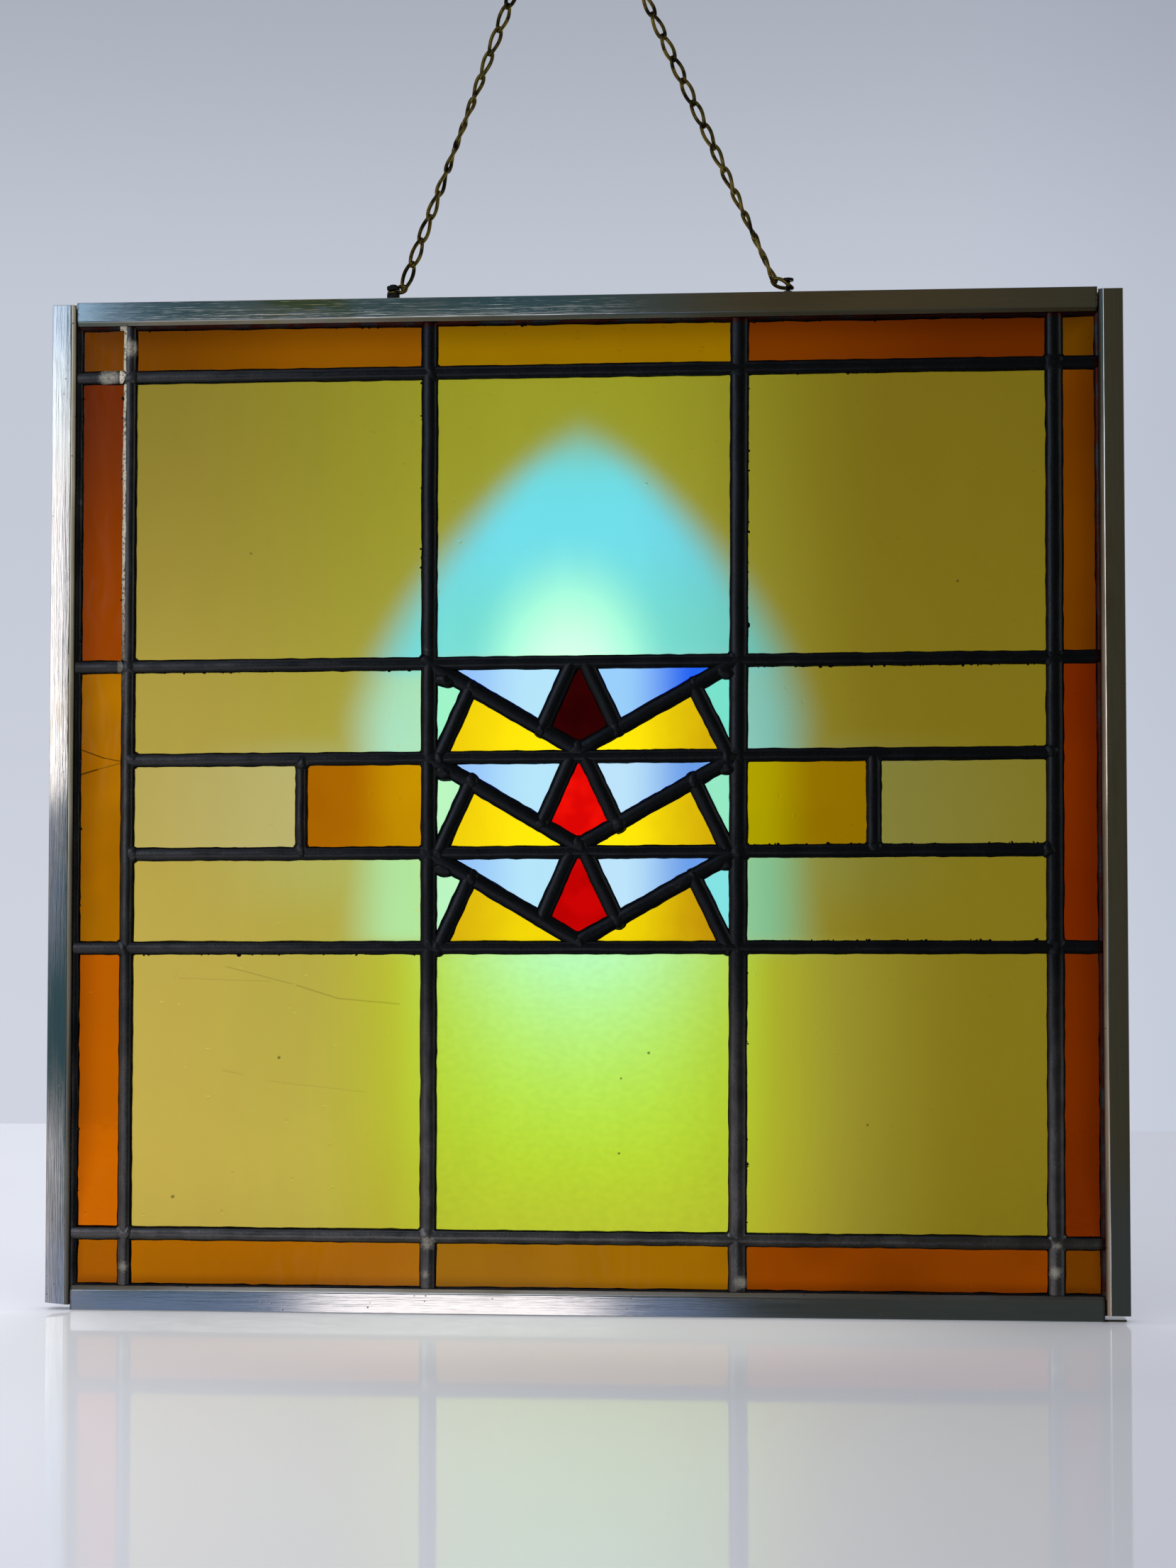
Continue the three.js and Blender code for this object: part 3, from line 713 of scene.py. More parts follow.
# %% [markdown]
# ## The border's glass
# Each strip of the border was cut from its own sheet, so each has its own two looks. It
# could have one brown finish for all, but then no strip would stand out as it does on
# the real panel. The strips darken towards the channel, which keeps the light off them.

# %% Looks of the border strips
BORDER_LOOKS = {
    "pane_corner_top_left": ((108, 58, 0), (102, 54, 0)),
    "pane_corner_top_right": ((96, 58, 0), (90, 52, 0)),
    "pane_corner_bottom_left": ((137, 74, 0), (131, 72, 0)),
    "pane_corner_bottom_right": ((100, 52, 0), (94, 47, 0)),
    "pane_top_left": ((106, 59, 0), (131, 78, 0)),
    "pane_top_centre": ((140, 104, 0), (136, 100, 0)),
    "pane_top_right": ((110, 49, 0), (90, 35, 0)),
    "pane_left_upper": ((99, 36, 0), (134, 58, 0)),
    "pane_left_middle": ((144, 90, 0), (164, 106, 0)),
    "pane_left_lower": ((166, 84, 0), (162, 82, 0)),
    "pane_bottom_left": ((136, 81, 0), (140, 84, 0)),
    "pane_bottom_centre": ((135, 84, 0), (128, 79, 0)),
    "pane_bottom_right": ((128, 58, 0), (115, 51, 0)),
    "pane_right_upper": ((104, 54, 0), (98, 48, 0)),
    "pane_right_middle": ((106, 36, 0), (102, 32, 0)),
    "pane_right_lower": ((102, 36, 0), (98, 34, 0)),
    "pane_band_left_2_amber": ((158, 92, 0), (162, 97, 0)),
    "pane_band_right_2_amber": ((142, 107, 0), (136, 103, 0)),
}
# Three strips change along their length: where the change starts and ends, and whether
# it runs downwards.
GRADED = {
    "pane_left_upper": (40, 165, True),
    "pane_top_left": (45, 145, False),
    "pane_top_right": (335, 440, False),
}
# Two hairline cracks start at the channel's lip and run into one point.
CRACKS = (  # start, end, width and strength
    ((11, 213.5), (25, 218.6), 0.45, 0.85), ((25, 218.6), (35, 220.6), 0.4, 0.7),
    ((11, 227.5), (22, 224.2), 0.5, 0.9), ((22, 224.2), (34, 221), 0.35, 0.5),
)
print(len(BORDER_LOOKS), "panes have their own looks")

# %% Finish every pane
LIP = 11  # the channel's lips cover this much of the panel's edge
LIP_SHADE = (0.72, 0.66, 0.6)
INNER_LIGHT = (1.12, 1.1, 1.0)


def graded_tint(first, last, start, end, down):
    """A tint that changes from one colour to another down or across the pane."""

    def paint(graph, place, across, drop):
        return graph.blend(graph.step(drop if down else across, start, end), first, last)

    return paint


def shaded(plain):
    """The same tint, darker towards the channel."""

    def paint(graph, place, across, drop):
        sides = graph.least(across, PANEL_WIDTH - across)
        to_edge = graph.least(sides, graph.least(drop, PANEL_HEIGHT - drop))
        reach = graph.step(drop, 400, 440, 27, 18)
        shade = graph.step((to_edge - LIP) / (reach - LIP), 0, 1)
        shade = graph.blend(shade, LIP_SHADE, INNER_LIGHT)
        return graph.multiply(plain(graph, place, across, drop), shade)

    return paint


for name, looks in BORDER_LOOKS.items():
    tints = [tint(look) for look in looks]
    paint_pane = even_tint(*tints, grain=16)
    if name in GRADED:
        paint_pane = graded_tint(*tints, *GRADED[name])
    if "band" not in name:
        paint_pane = shaded(paint_pane)
    cracks = CRACKS if name == "pane_left_middle" else ()
    finish = glass_finish(name.replace("pane", "glass"), paint_pane, 0.08, cracks)
    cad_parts[name].material_slots[0].material = finish

for name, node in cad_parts.items():
    if not name.startswith("pane_") or name in BORDER_LOOKS:
        continue
    kind = next((k for k in ("blue", "yellow", "mint") if f"pane_{k}_" in name), "olive")
    if name.startswith("pane_kite"):
        kind = name.removeprefix("pane_")
    node.material_slots[0].material = GLASS[kind]
print("panes finished:", sum(n.startswith("pane_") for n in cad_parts))

# %% [markdown]
# ## The metal channel
# Four lengths of thin zinc channel hold the panel's edge. They are old and handled:
# drawing lines run along them, there are dull stains, dark flecks and fine scratches,
# and the corners have lost their sharpness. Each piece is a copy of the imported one,
# merged, with its edges bevelled a little, so that they catch the light.

# %% A metal finish with lines along the bar
ZINC = (0.80, 0.82, 0.84)
ZINC_STAIN = (0.66, 0.64, 0.60)
ZINC_ROUGHNESS = 0.06
STAIN_ROUGHNESS = 0.06  # what a stain adds
ZINC_LIP_SHADE_AND_WEAR = (0.34, 0.30, 0.22)
FLECK = (0.06, 0.045, 0.04)
PATINA = (0.52, 0.50, 0.14)
PATINA_MIDDLE = 122
GRIME = (0.03, 0.025, 0.022)
JOINTS_ACROSS = (11.6, 496.4)  # where the rails meet the stiles
DRAWN_SHADE = (0.86, 0.86, 0.86)
END_PATINA_AND_SHADE = (0.52, 0.66, 0.74)
ZINC_RELIEF = 0.00004


def metal_finish(name, along):
    """Old drawn metal. along is how much the pattern is squeezed on X, Y and Z."""
    material, graph = new_material(name)
    place, across, drop = panel_axes(graph)
    drawn = graph.noise(graph.stretch(place, along), 900, 3, 0.6)
    cloud = graph.noise(graph.stretch(place, tuple(a**0.35 for a in along)), 45, 4, 0.6)
    stained = graph.step(cloud, 0.5, 0.72)
    speck = graph.falling(graph.cells(place, 260), 0.05, 0.16)
    fleck = speck * graph.step(graph.noise(place, 60, 2), 0.5, 0.6)
    depth = graph.size(graph.axis(place, "Y")) / MM
    lip = graph.falling(depth, 4.6, 4.93)
    tone = graph.blend(stained, ZINC, ZINC_STAIN)
    # Painted shade: the inward-leaning lips are painted darker and browner, in mottled patches like
    # wear.
    tone = graph.blend(lip * graph.step(cloud, 0.3, 0.6, 0.55, 0.9), tone, ZINC_LIP_SHADE_AND_WEAR)
    tone = graph.blend(fleck * 0.6, tone, FLECK)
    # A yellow-green patina on the top rail, and black grime in the butt joints.
    up_high = graph.falling(drop, 12, 14)
    green = graph.falling(graph.size(across - PATINA_MIDDLE), 12, 30) * up_high
    tone = graph.blend(green * graph.step(cloud, 0.42, 0.52) * 0.75, tone, PATINA)
    joint = graph.least(*[graph.size(across - end) for end in JOINTS_ACROSS])
    grime = graph.falling(joint + drawn * 1.6, 1.0, 2.4)
    tone = graph.blend(grime * 0.85, tone, GRIME)
    tone = graph.multiply(tone, graph.blend(drawn, DRAWN_SHADE, WHITE))
    # The top rail's left end is painted a little darker and bluer: partly a blue-grey patina,
    # partly painted shade.
    end_patina_and_shade = graph.blend(graph.step(across, 14, 62), END_PATINA_AND_SHADE, WHITE)
    on_top_rail = graph.step(across, 11.4, 11.8) * up_high
    tone = graph.blend(on_top_rail, tone, graph.multiply(tone, end_patina_and_shade))
    rough = drawn * 0.08 + stained * STAIN_ROUGHNESS + fleck * 0.2 + lip * 0.15
    rough = rough + (ZINC_ROUGHNESS - 0.04)
    scratch = graph.noise(graph.stretch(place, along), 2600, 2, 0.5)
    relief = drawn * 0.5 + scratch * 0.3 - fleck * 0.1 - stained * 0.2
    graph.surface({
        "Base Color": tone,
        "Metallic": 1.0,
        "Roughness": rough,
        "Normal": graph.bump(relief, ZINC_RELIEF),
    })
    return material


DRAWN_ALONG_X = metal_finish("zinc_rail", (0.02, 1.0, 1.0))
DRAWN_ALONG_Z = metal_finish("zinc_stile", (1.0, 1.0, 0.02))
print("zinc finishes are ready")

# %% Helpers that copy, soften and finish a piece
EDGE_ROUNDING = 0.00028


def apply_modifier(piece, kind, **settings):
    """Add a modifier, set it up, and apply it to the mesh."""
    modifier = piece.modifiers.new(kind.lower(), kind)
    for name, value in settings.items():
        setattr(modifier, name, value)
    select_only(piece)
    bpy.ops.object.modifier_apply(modifier=modifier.name)


def copy_of(master):
    """A copy with its own mesh."""
    piece = master.copy()
    piece.data = master.data.copy()
    bpy.context.scene.collection.objects.link(piece)
    return piece


def merged_copy(node_name, name):
    """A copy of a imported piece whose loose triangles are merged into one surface."""
    piece = named(copy_of(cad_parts[node_name]), name)
    piece.parent = None
    for key in list(piece.keys()):
        if key.startswith("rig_"):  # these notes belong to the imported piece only
            del piece[key]
    select_only(piece)
    bpy.ops.object.mode_set(mode="EDIT")
    bpy.ops.mesh.select_all(action="SELECT")
    bpy.ops.mesh.remove_doubles(threshold=0.000001)
    bpy.ops.mesh.dissolve_limited(angle_limit=math.radians(0.5))
    bpy.ops.object.mode_set(mode="OBJECT")
    return piece


def finish_piece(piece, material, slot, *nodes, smooth=40):
    """Give a new piece its finish, and hang it on the model in place of CAD nodes."""
    piece.data.materials.clear()
    piece.data.materials.append(material)
    select_only(piece)
    bpy.ops.object.shade_smooth_by_angle(angle=math.radians(smooth))
    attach(piece, "root")
    if nodes:
        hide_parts(*nodes)


print("edges will be rounded by", round(EDGE_ROUNDING / MM, 2), "mm")

# %% Copy and finish the four lengths of channel
for node_name in ("stile_left", "stile_right", "rail_top", "rail_bottom"):
    finish = DRAWN_ALONG_Z if node_name.startswith("stile") else DRAWN_ALONG_X
    channel = merged_copy(node_name, node_name + "_channel")
    apply_modifier(
        channel, "BEVEL", width=EDGE_ROUNDING, segments=2, limit_method="ANGLE",
        angle_limit=math.radians(25), harden_normals=False,
    )
    finish_piece(channel, finish, "channel", node_name)
    apply_modifier(channel, "WEIGHTED_NORMAL", keep_sharp=True)  # wide faces stay flat
    print(channel.name, "has", len(channel.data.polygons), "faces")

# %% [markdown]
# ## The lead lines
# The leads follow a grid of upright and level lines, with a chevron pattern in the
# middle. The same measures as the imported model's are used here, so that each came
# covers the edges of its panes.

# %% Measures of the leads
# Each upright: how far across at the top and at the foot, and its width.
UPRIGHTS = ((37.2, 36.8, 6.5), (182, 182, 7.8), (329.4, 327.2, 8.8), (476.4, 474.6, 8.2))
# Each crossbar: its drop at the left and at the right edge.
CROSSBARS = (
    (35.8, 34.8), (175.2, 172.8), (220.2, 217.4), (265, 262.6), (309.4, 308), (444.2, 444.8),
)
INNER_CROSSBARS = (2, 3)  # these two stop at the outer uprights
CROSSBAR_WIDTH = 6.4
BORDER_LINES = {"left": 9.2, "right": 499.8, "top": 8.1, "bottom": 472.9}
BORDER_WIDTH = 10
# The short leads beside the amber panes: how far across, and the width.
SPLITS = ((120.9, 5.8), (391.6, 7.2))
MOTIF_WIDTH = 7.6
GROOVE = 3.2  # between the front flange and the back one
CROWN = 1.25  # how high a flange is rounded
BORDER_CROWN = 0.85


def meeting(a, b, c, d):
    """Where the line through a and b meets the line through c and d."""
    ab, cd, ac = b - a, d - c, c - a
    return a + ab * ((ac.x * cd.y - ac.y * cd.x) / (ab.x * cd.y - ab.y * cd.x))


upright_lines = [(BORDER_LINES["left"], BORDER_LINES["left"])]
upright_lines += [(top, foot) for top, foot, _ in UPRIGHTS]
upright_lines += [(BORDER_LINES["right"], BORDER_LINES["right"])]
crossbar_lines = [(BORDER_LINES["top"], BORDER_LINES["top"])]
crossbar_lines += list(CROSSBARS)
crossbar_lines += [(BORDER_LINES["bottom"], BORDER_LINES["bottom"])]


def upright_ends(column):
    top, foot = upright_lines[column]
    return Vector((top, 0)), Vector((foot, PANEL_HEIGHT))


def crossbar_ends(row):
    left, right = crossbar_lines[row]
    return Vector((0, left)), Vector((PANEL_WIDTH, right))


def crossing(column, row):
    """Where an upright meets a crossbar, counting the border's from 0: (across, drop)."""
    return meeting(*upright_ends(column), *crossbar_ends(row))


def towards(a, b, distance):
    return a.lerp(b, distance / (b - a).length)


print("the first crossing of the glass is at", tuple(round(v, 1) for v in crossing(1, 1)))

# %% List the cames of the grid
LAST_COLUMN, LAST_ROW = len(upright_lines) - 1, len(crossbar_lines) - 1
END_JOINT = 5.2  # where a short crossbar ends on an upright
END_SHIFT = 2.2  # that joint sits this far to the inner side
SPLIT_JOINT = 4.2
SPLIT_SHIFT = 2.0
cames = []  # (start, end, width, crown)
joints = []  # (place, width): where cames meet and are soldered
wedges = []  # places: sharp corners of the pattern that are filled with solder

border_corners = [crossing(c, r) for c, r in
                  ((0, 0), (LAST_COLUMN, 0), (LAST_COLUMN, LAST_ROW), (0, LAST_ROW))]
for corner, following in zip(border_corners, border_corners[1:] + border_corners[:1]):
    overrun = BORDER_WIDTH / 2 - 0.5
    cames.append((towards(corner, following, -overrun), towards(following, corner, -overrun),
                  BORDER_WIDTH, BORDER_CROWN))
for column, (_, _, width) in enumerate(UPRIGHTS, start=1):
    cames.append((crossing(column, 0), crossing(column, LAST_ROW), width, CROWN))
for row in range(1, LAST_ROW):
    start = 1 if row - 1 in INNER_CROSSBARS else 0
    cames.append((crossing(start, row), crossing(LAST_COLUMN - start, row), CROSSBAR_WIDTH, CROWN))
    for column in range(1, LAST_COLUMN):
        spot, width = crossing(column, row), UPRIGHTS[column - 1][2]
        if column in (start, LAST_COLUMN - start):  # the crossbar ends here, on its inner side
            inwards = END_SHIFT if column == start else -END_SHIFT
            spot, width = spot + Vector((inwards, 0)), END_JOINT
        joints.append((spot, width))
for split_across, width in SPLITS:
    line = Vector((split_across, 0)), Vector((split_across, PANEL_HEIGHT))
    ends = [meeting(*line, *crossbar_ends(row)) for row in (3, 4)]
    cames.append((*ends, width, CROWN))
    joints += [(towards(a, b, SPLIT_SHIFT), SPLIT_JOINT) for a, b in (ends, ends[::-1])]
print("the grid has", len(cames), "cames")

# %% List the cames of the pattern
PATTERN_ROWS = range(2, 5)
TIP_SHARE = 0.485  # the pattern's tips lie this share of the way across the column
TIP_RISE = 2.9  # the chevron's leads meet this far over the crossbar
KITE_HALF_TOP = 3.3  # half the width of a kite's upper end
KITE_SHARE = 0.755  # a kite's side meets the chevron this far along it
OUTER_SHARE = 0.278  # and an outer lead meets it this far along
OUTER_SHIFT = 4.5  # an outer lead starts this far from the lower corner
TIP_JOINT, SIDE_JOINT, FOOT_JOINT = 7.4, 5.6, 5.2
WEDGE_SHIFTS = {1: Vector((7.6, 7.4)), -1: Vector((-6.2, 5.2))}  # from the upper corners
for row in PATTERN_ROWS:
    tops = crossing(2, row), crossing(3, row)
    feet = crossing(2, row + 1), crossing(3, row + 1)
    top, bottom = tops[0].lerp(tops[1], TIP_SHARE), feet[0].lerp(feet[1], TIP_SHARE)
    meeting_point = bottom - Vector((0, TIP_RISE))
    joints.append((meeting_point, TIP_JOINT))
    for side, corner, low_corner in ((1, tops[0], feet[0]), (-1, tops[1], feet[1])):
        inner_top = towards(top, corner, KITE_HALF_TOP)
        inner = corner.lerp(meeting_point, KITE_SHARE)
        outer = corner.lerp(meeting_point, OUTER_SHARE)
        outer_foot = towards(low_corner, bottom, OUTER_SHIFT)
        for start, end in ((corner, meeting_point), (inner_top, inner), (outer_foot, outer)):
            cames.append((start, end, MOTIF_WIDTH, CROWN))
        joints += [(inner, SIDE_JOINT), (outer, SIDE_JOINT), (outer_foot, FOOT_JOINT)]
        wedges.append(corner + WEDGE_SHIFTS[side])
print(len(cames), "cames and", len(joints), "soldered joints")

# %% [markdown]
# ## Modelling the cames
# A came is a soft lead extrusion: one round flange in front of the glass, one behind,
# and a thin heart between them. One blank is made from a cylinder that is cut in half
# and squashed. Each came is then a copy of it, stretched to its length and cut across
# many times, so that noise can dent it the way a fitter's knife and a putty brush do.

# %% Make one blank
HEART_SHARE = 0.19  # the heart's thickness, as a share of the came's width


def pick_edges(piece, wanted):
    """Select the edges whose two end points pass a test, then go into edit mode."""
    select_only(piece)
    bpy.ops.object.mode_set(mode="EDIT")
    bpy.ops.mesh.select_all(action="DESELECT")
    bpy.ops.object.mode_set(mode="OBJECT")
    bpy.context.tool_settings.mesh_select_mode = (False, True, False)
    points = piece.data.vertices
    for edge in piece.data.edges:
        edge.select = wanted(*(points[i].co for i in edge.vertices))
    bpy.ops.object.mode_set(mode="EDIT")


def join(pieces, name):
    select_only(*pieces)
    bpy.ops.object.join()
    return named(bpy.context.object, name)


def came_blank(crown):
    """A came 1 long on Z and 1 wide on X, with its real depth."""
    halves = []
    for front in (True, False):
        bpy.ops.object.select_all(action="DESELECT")
        bpy.ops.mesh.primitive_cylinder_add(vertices=16, radius=0.5, depth=1, end_fill_type="NGON")
        half = bpy.context.object
        bpy.ops.object.mode_set(mode="EDIT")
        bpy.ops.mesh.select_all(action="SELECT")
        bpy.ops.mesh.bisect(
            plane_co=(0, 0, 0), plane_no=(0, -1 if front else 1, 0), use_fill=True,
            clear_inner=True, threshold=0.0001,
        )
        bpy.ops.object.mode_set(mode="OBJECT")
        half.scale = (1, 2 * crown * MM, 1)
        half.location = (0, (-1 if front else 1) * GROOVE / 2 * MM, 0)
        place_now()
        halves.append(half)
    bpy.ops.mesh.primitive_cube_add(size=1)
    core = bpy.context.object
    core.scale = (HEART_SHARE, (GROOVE + 0.4) * MM, 0.998)
    place_now()
    return join([*halves, core], "came_blank")


BLANKS = {crown: came_blank(crown) for crown in (CROWN, BORDER_CROWN)}
print("a blank has", len(BLANKS[CROWN].data.polygons), "faces")

# %% Lay all the cames
RING_STEP = 3.2  # mm between cuts along a came


def lay_came(start, end, width, crown):
    piece = copy_of(BLANKS[crown])
    a, b = on_panel(*start), on_panel(*end)
    along = b - a
    cuts = max(2, int(along.length / MM / RING_STEP))
    pick_edges(piece, lambda p, q: abs(p.z - q.z) > 0.9)  # the edges along it
    bpy.ops.mesh.subdivide(number_cuts=cuts)
    bpy.ops.object.mode_set(mode="OBJECT")
    piece.scale = (width * MM, 1, along.length)
    piece.rotation_euler = (0, math.atan2(along.x, along.z), 0)
    piece.location = (a + b) / 2
    place_now()
    return piece


leads = join([lay_came(*came) for came in cames], "lead_cames")
print("the leads have", len(leads.data.polygons), "faces")

# %% Dent the leads
RIM_DEPTH = (GROOVE / 2 + 0.25) * MM


def dent(piece, name, size, strength, **settings):
    """Push a mesh in and out with cloudy noise. size and strength are in metres."""
    clouds = bpy.data.textures.new(name, "CLOUDS")
    clouds.noise_scale = size
    clouds.noise_depth = 2
    apply_modifier(
        piece, "DISPLACE", texture=clouds, strength=strength, mid_level=0.5,
        texture_coords="LOCAL", **settings,
    )


rims = leads.vertex_groups.new(name="rims")
rims.add([v.index for v in leads.data.vertices if abs(v.co.y) < RIM_DEPTH], 1.0, "REPLACE")
dent(leads, "lead_dents", 0.014, 0.0006)
dent(leads, "lead_edges", 0.0035, 0.0011, vertex_group="rims")
leads.vertex_groups.clear()
for blank in BLANKS.values():
    bpy.data.objects.remove(blank)
print("dented", len(leads.data.vertices), "points")

# %% [markdown]
# ## The finish of the lead
# Leads are blackened with a patina and polished with a brush. The crowns keep a
# bluish shine, the edges hold dull putty, and where the solder shows the metal is
# paler. So the finish is a dark metal whose roughness wanders, with pale worn spots.

# %% Measures and colours of the lead finish
BARE_SPOTS = (  # where solder or scratches show bright metal: across, drop and radius
    (27, 35.5, 5.5), (37, 22, 5), (182, 447, 3.5), (181, 462, 2.5), (329, 464, 3.5),
    (37, 460, 3), (474, 458, 3.5), (475, 446, 2.5),
)
RUB_AND_SHEEN = (0.17, 0.165, 0.17)
BARE_METAL = (0.46, 0.43, 0.36)
BRIGHT_SEAM = (0.88, 0.80, 0.62)
PUTTY_DUST = (0.022, 0.018, 0.013)
DARK_RED_EDGE = (0.05, 0.008, 0.004)
LEAD_RELIEF = 0.00018
print(len(BARE_SPOTS), "spots of bare metal")

# %% Lead and solder finishes
def lead_finish(name, dark, pale, worn, roughness, red_edge=0.0, seam_strength=0.0):
    """Blackened metal. It is pale where its noise passes worn.

    red_edge and seam_strength say how strongly the dark red edge and the bright seam show.
    """
    material, graph = new_material(name)
    place, across, drop = panel_axes(graph)
    cloud = graph.noise(place, 70, 4, 0.6)
    grain = graph.noise(place, 700, 3, 0.6)
    bare = graph.step(cloud + grain * 0.25, worn, worn + 0.14)
    depth = graph.size(graph.axis(place, "Y")) / MM
    putty = graph.falling(depth, 1.6, 2.0) * graph.step(grain, 0.4, 0.6)
    # Upper leads are the blackest. On the lower and the left leads the crowns are painted grey:
    # partly rubbed wear, partly a painted sheen.
    rub_and_sheen_mask = graph.most(graph.step(drop, 300, 400), graph.step(across, 40, 190, 0.4, 0.0))
    rub_and_sheen_mask = rub_and_sheen_mask * graph.step(cloud, 0.3, 0.6, 0.6, 1.0) * graph.step(depth, 1.9, 2.7)
    tone = graph.blend(bare, graph.blend(rub_and_sheen_mask, dark, RUB_AND_SHEEN), pale)
    exposed = 0.0
    for spot_across, spot_drop, radius in BARE_SPOTS:
        away = distance_from(across, drop, spot_across, spot_drop)
        spot = graph.falling(away + cloud * 3 + grain * 6, radius + 2, radius + 5)
        spot = spot * graph.step(grain, 0.35, 0.6, 0.55, 0.9)
        exposed = graph.most(exposed, spot)
        tone = graph.blend(spot, tone, BARE_METAL)
    tone = graph.blend(putty * 0.6, tone, PUTTY_DUST)
    # A dark red is painted on the leads under the channel's lips, along the top and the right edge.
    edge = graph.most(graph.falling(drop, 12, 15), graph.step(across, 493, 496))
    tone = graph.blend(edge * graph.step(cloud, 0.35, 0.55) * red_edge, tone, DARK_RED_EDGE)
    rough = cloud * 0.16 + grain * 0.12 + putty * 0.3 + (roughness - 0.14)
    # A bright cream seam is painted along the first upright's left edge, in its upper part.
    seam = graph.falling(across + cloud * 2.4, 36.4, 37.0) * graph.step(across, 32.0, 32.5)
    seam = seam * graph.band(drop, 7, 10, 120, 205)
    seam = seam * graph.step(grain, 0.36, 0.5, 0.35, 1.0) * seam_strength
    tone = graph.blend(seam, tone, BRIGHT_SEAM)
    exposed = graph.most(exposed * 0.7, seam)
    graph.surface({
        "Base Color": tone,
        "Metallic": exposed * -0.9 + 0.95,
        "Roughness": rough,
        "Normal": graph.bump(cloud * 0.8 + grain * 0.16, LEAD_RELIEF),
    })
    return material


WORN_GREY = (0.12, 0.12, 0.12)
LEAD = lead_finish(
    "blackened_lead", (0.025, 0.028, 0.034), WORN_GREY, worn=0.80, roughness=0.26,
    red_edge=0.9, seam_strength=0.95,
)
SOLDER = lead_finish(
    "blackened_solder", (0.025, 0.028, 0.033), WORN_GREY, worn=0.80, roughness=0.28
)
finish_piece(leads, LEAD, "lead", "came_lattice", smooth=60)
print("the leads are finished")

# %% [markdown]
# ## Solder
# Every meeting of two leads is soldered, front and back. The solder makes a low round
# lump that fills the corners between the leads. One lump is modelled from a ball, then
# copied, turned and stretched a little differently each time, and dented by noise.

# %% Solder every joint
LUMP_REACH = 1.04  # how far a lump reaches past the corners of its crossing
WEDGE_SIZE = (6.0, 3.9, 0.2)  # half its width and height, and the most it is turned
dice = random.Random(11)


def ball(detail):
    bpy.ops.object.select_all(action="DESELECT")
    bpy.ops.mesh.primitive_ico_sphere_add(subdivisions=detail, radius=1.0)
    return bpy.context.object


lump = ball(3)
lumps = []
places = []  # place, half width, half height and the most it is turned
for spot, width in joints:
    half = math.hypot(width, CROSSBAR_WIDTH) / 2 * LUMP_REACH
    places.append((spot, half, half, math.pi))
places += [(spot, *WEDGE_SIZE) for spot in wedges]
for spot, half_width, half_height, most_turn in places:
    for front in (-1, 1):
        piece = copy_of(lump)
        wide = half_width * dice.uniform(0.92, 1.08) * MM
        tall = half_height * dice.uniform(0.92, 1.08) * MM
        piece.scale = (wide, (CROWN + dice.uniform(0.05, 0.25)) * MM, tall)
        piece.rotation_euler = (0, dice.uniform(0, most_turn), 0)
        shift = Vector((dice.uniform(-0.5, 0.5), dice.uniform(-0.5, 0.5)))
        piece.location = on_panel(*(spot + shift), front * GROOVE / 2)
        select_only(piece)
        place_now()
        lumps.append(piece)
bpy.data.objects.remove(lump)
solder = join(lumps, "solder_lumps")
dent(solder, "solder_flow", 0.0045, 0.0012)
finish_piece(solder, SOLDER, "lead", smooth=70)
print("solder lumps:", len(lumps), "with", len(solder.data.polygons), "faces")

# %% [markdown]
# ## Putty crumbs
# Putty is brushed under the leads and sets in a ragged line along them. Where the
# fitter didn't pick it clean it stands out as small dark crumbs on the glass. They are
# many, so each is a ball of only twenty faces.

# %% Scatter the crumbs
FINE_CRUMB, COARSE_CRUMB = (0.25, 0.6), (0.6, 1.0)  # radii in mm
FINE_SHARE = 0.8
CRUMB_DEPTH = 1.35  # how far before the panel's middle plane
FIRST, SECOND, THIRD = (width for _, _, width in UPRIGHTS[:3])
# The crossings that each line of crumbs runs between, counted across and down, its
# came's width and side, and how many crumbs it has.
CRUMB_LINES = (
    ((3, 2), (4, 2), CROSSBAR_WIDTH, 1, 46), ((3, 1), (4, 1), CROSSBAR_WIDTH, 1, 40),
    ((3, 4), (4, 4), CROSSBAR_WIDTH, -1, 34), ((3, 5), (4, 5), CROSSBAR_WIDTH, -1, 40),
    ((1, 2), (2, 2), CROSSBAR_WIDTH, 1, 20), ((1, 5), (2, 5), CROSSBAR_WIDTH, 1, 20),
    ((3, 1), (3, 2), THIRD, -1, 18), ((3, 5), (3, 6), THIRD, -1, 14),
    ((2, 1), (2, 2), SECOND, 1, 10), ((1, 1), (1, 2), FIRST, 1, 12),
    ((1, 0), (4, 0), BORDER_WIDTH, 1, 90), ((0, 1), (0, 6), BORDER_WIDTH, -1, 60),
)
crumb = ball(1)
crumbs = []


def crumb_line(start, end, width, side, count):
    """Crumbs along one edge of a came. side is -1 or 1, to the came's two sides."""
    along = (end - start).normalized()
    across_came = Vector((-along.y, along.x)) * side
    for _ in range(count):
        share = dice.random()
        size = dice.uniform(*(FINE_CRUMB if dice.random() < FINE_SHARE else COARSE_CRUMB))
        spot = start.lerp(end, share) + across_came * (width / 2 + dice.uniform(-0.4, 0.35))
        piece = copy_of(crumb)
        piece.scale = tuple(size * dice.uniform(0.6, 1.5) * MM for _ in range(3))
        piece.rotation_euler = tuple(dice.uniform(0, 6) for _ in range(3))
        piece.location = on_panel(*spot, -(CRUMB_DEPTH + size * 0.2))
        crumbs.append(piece)


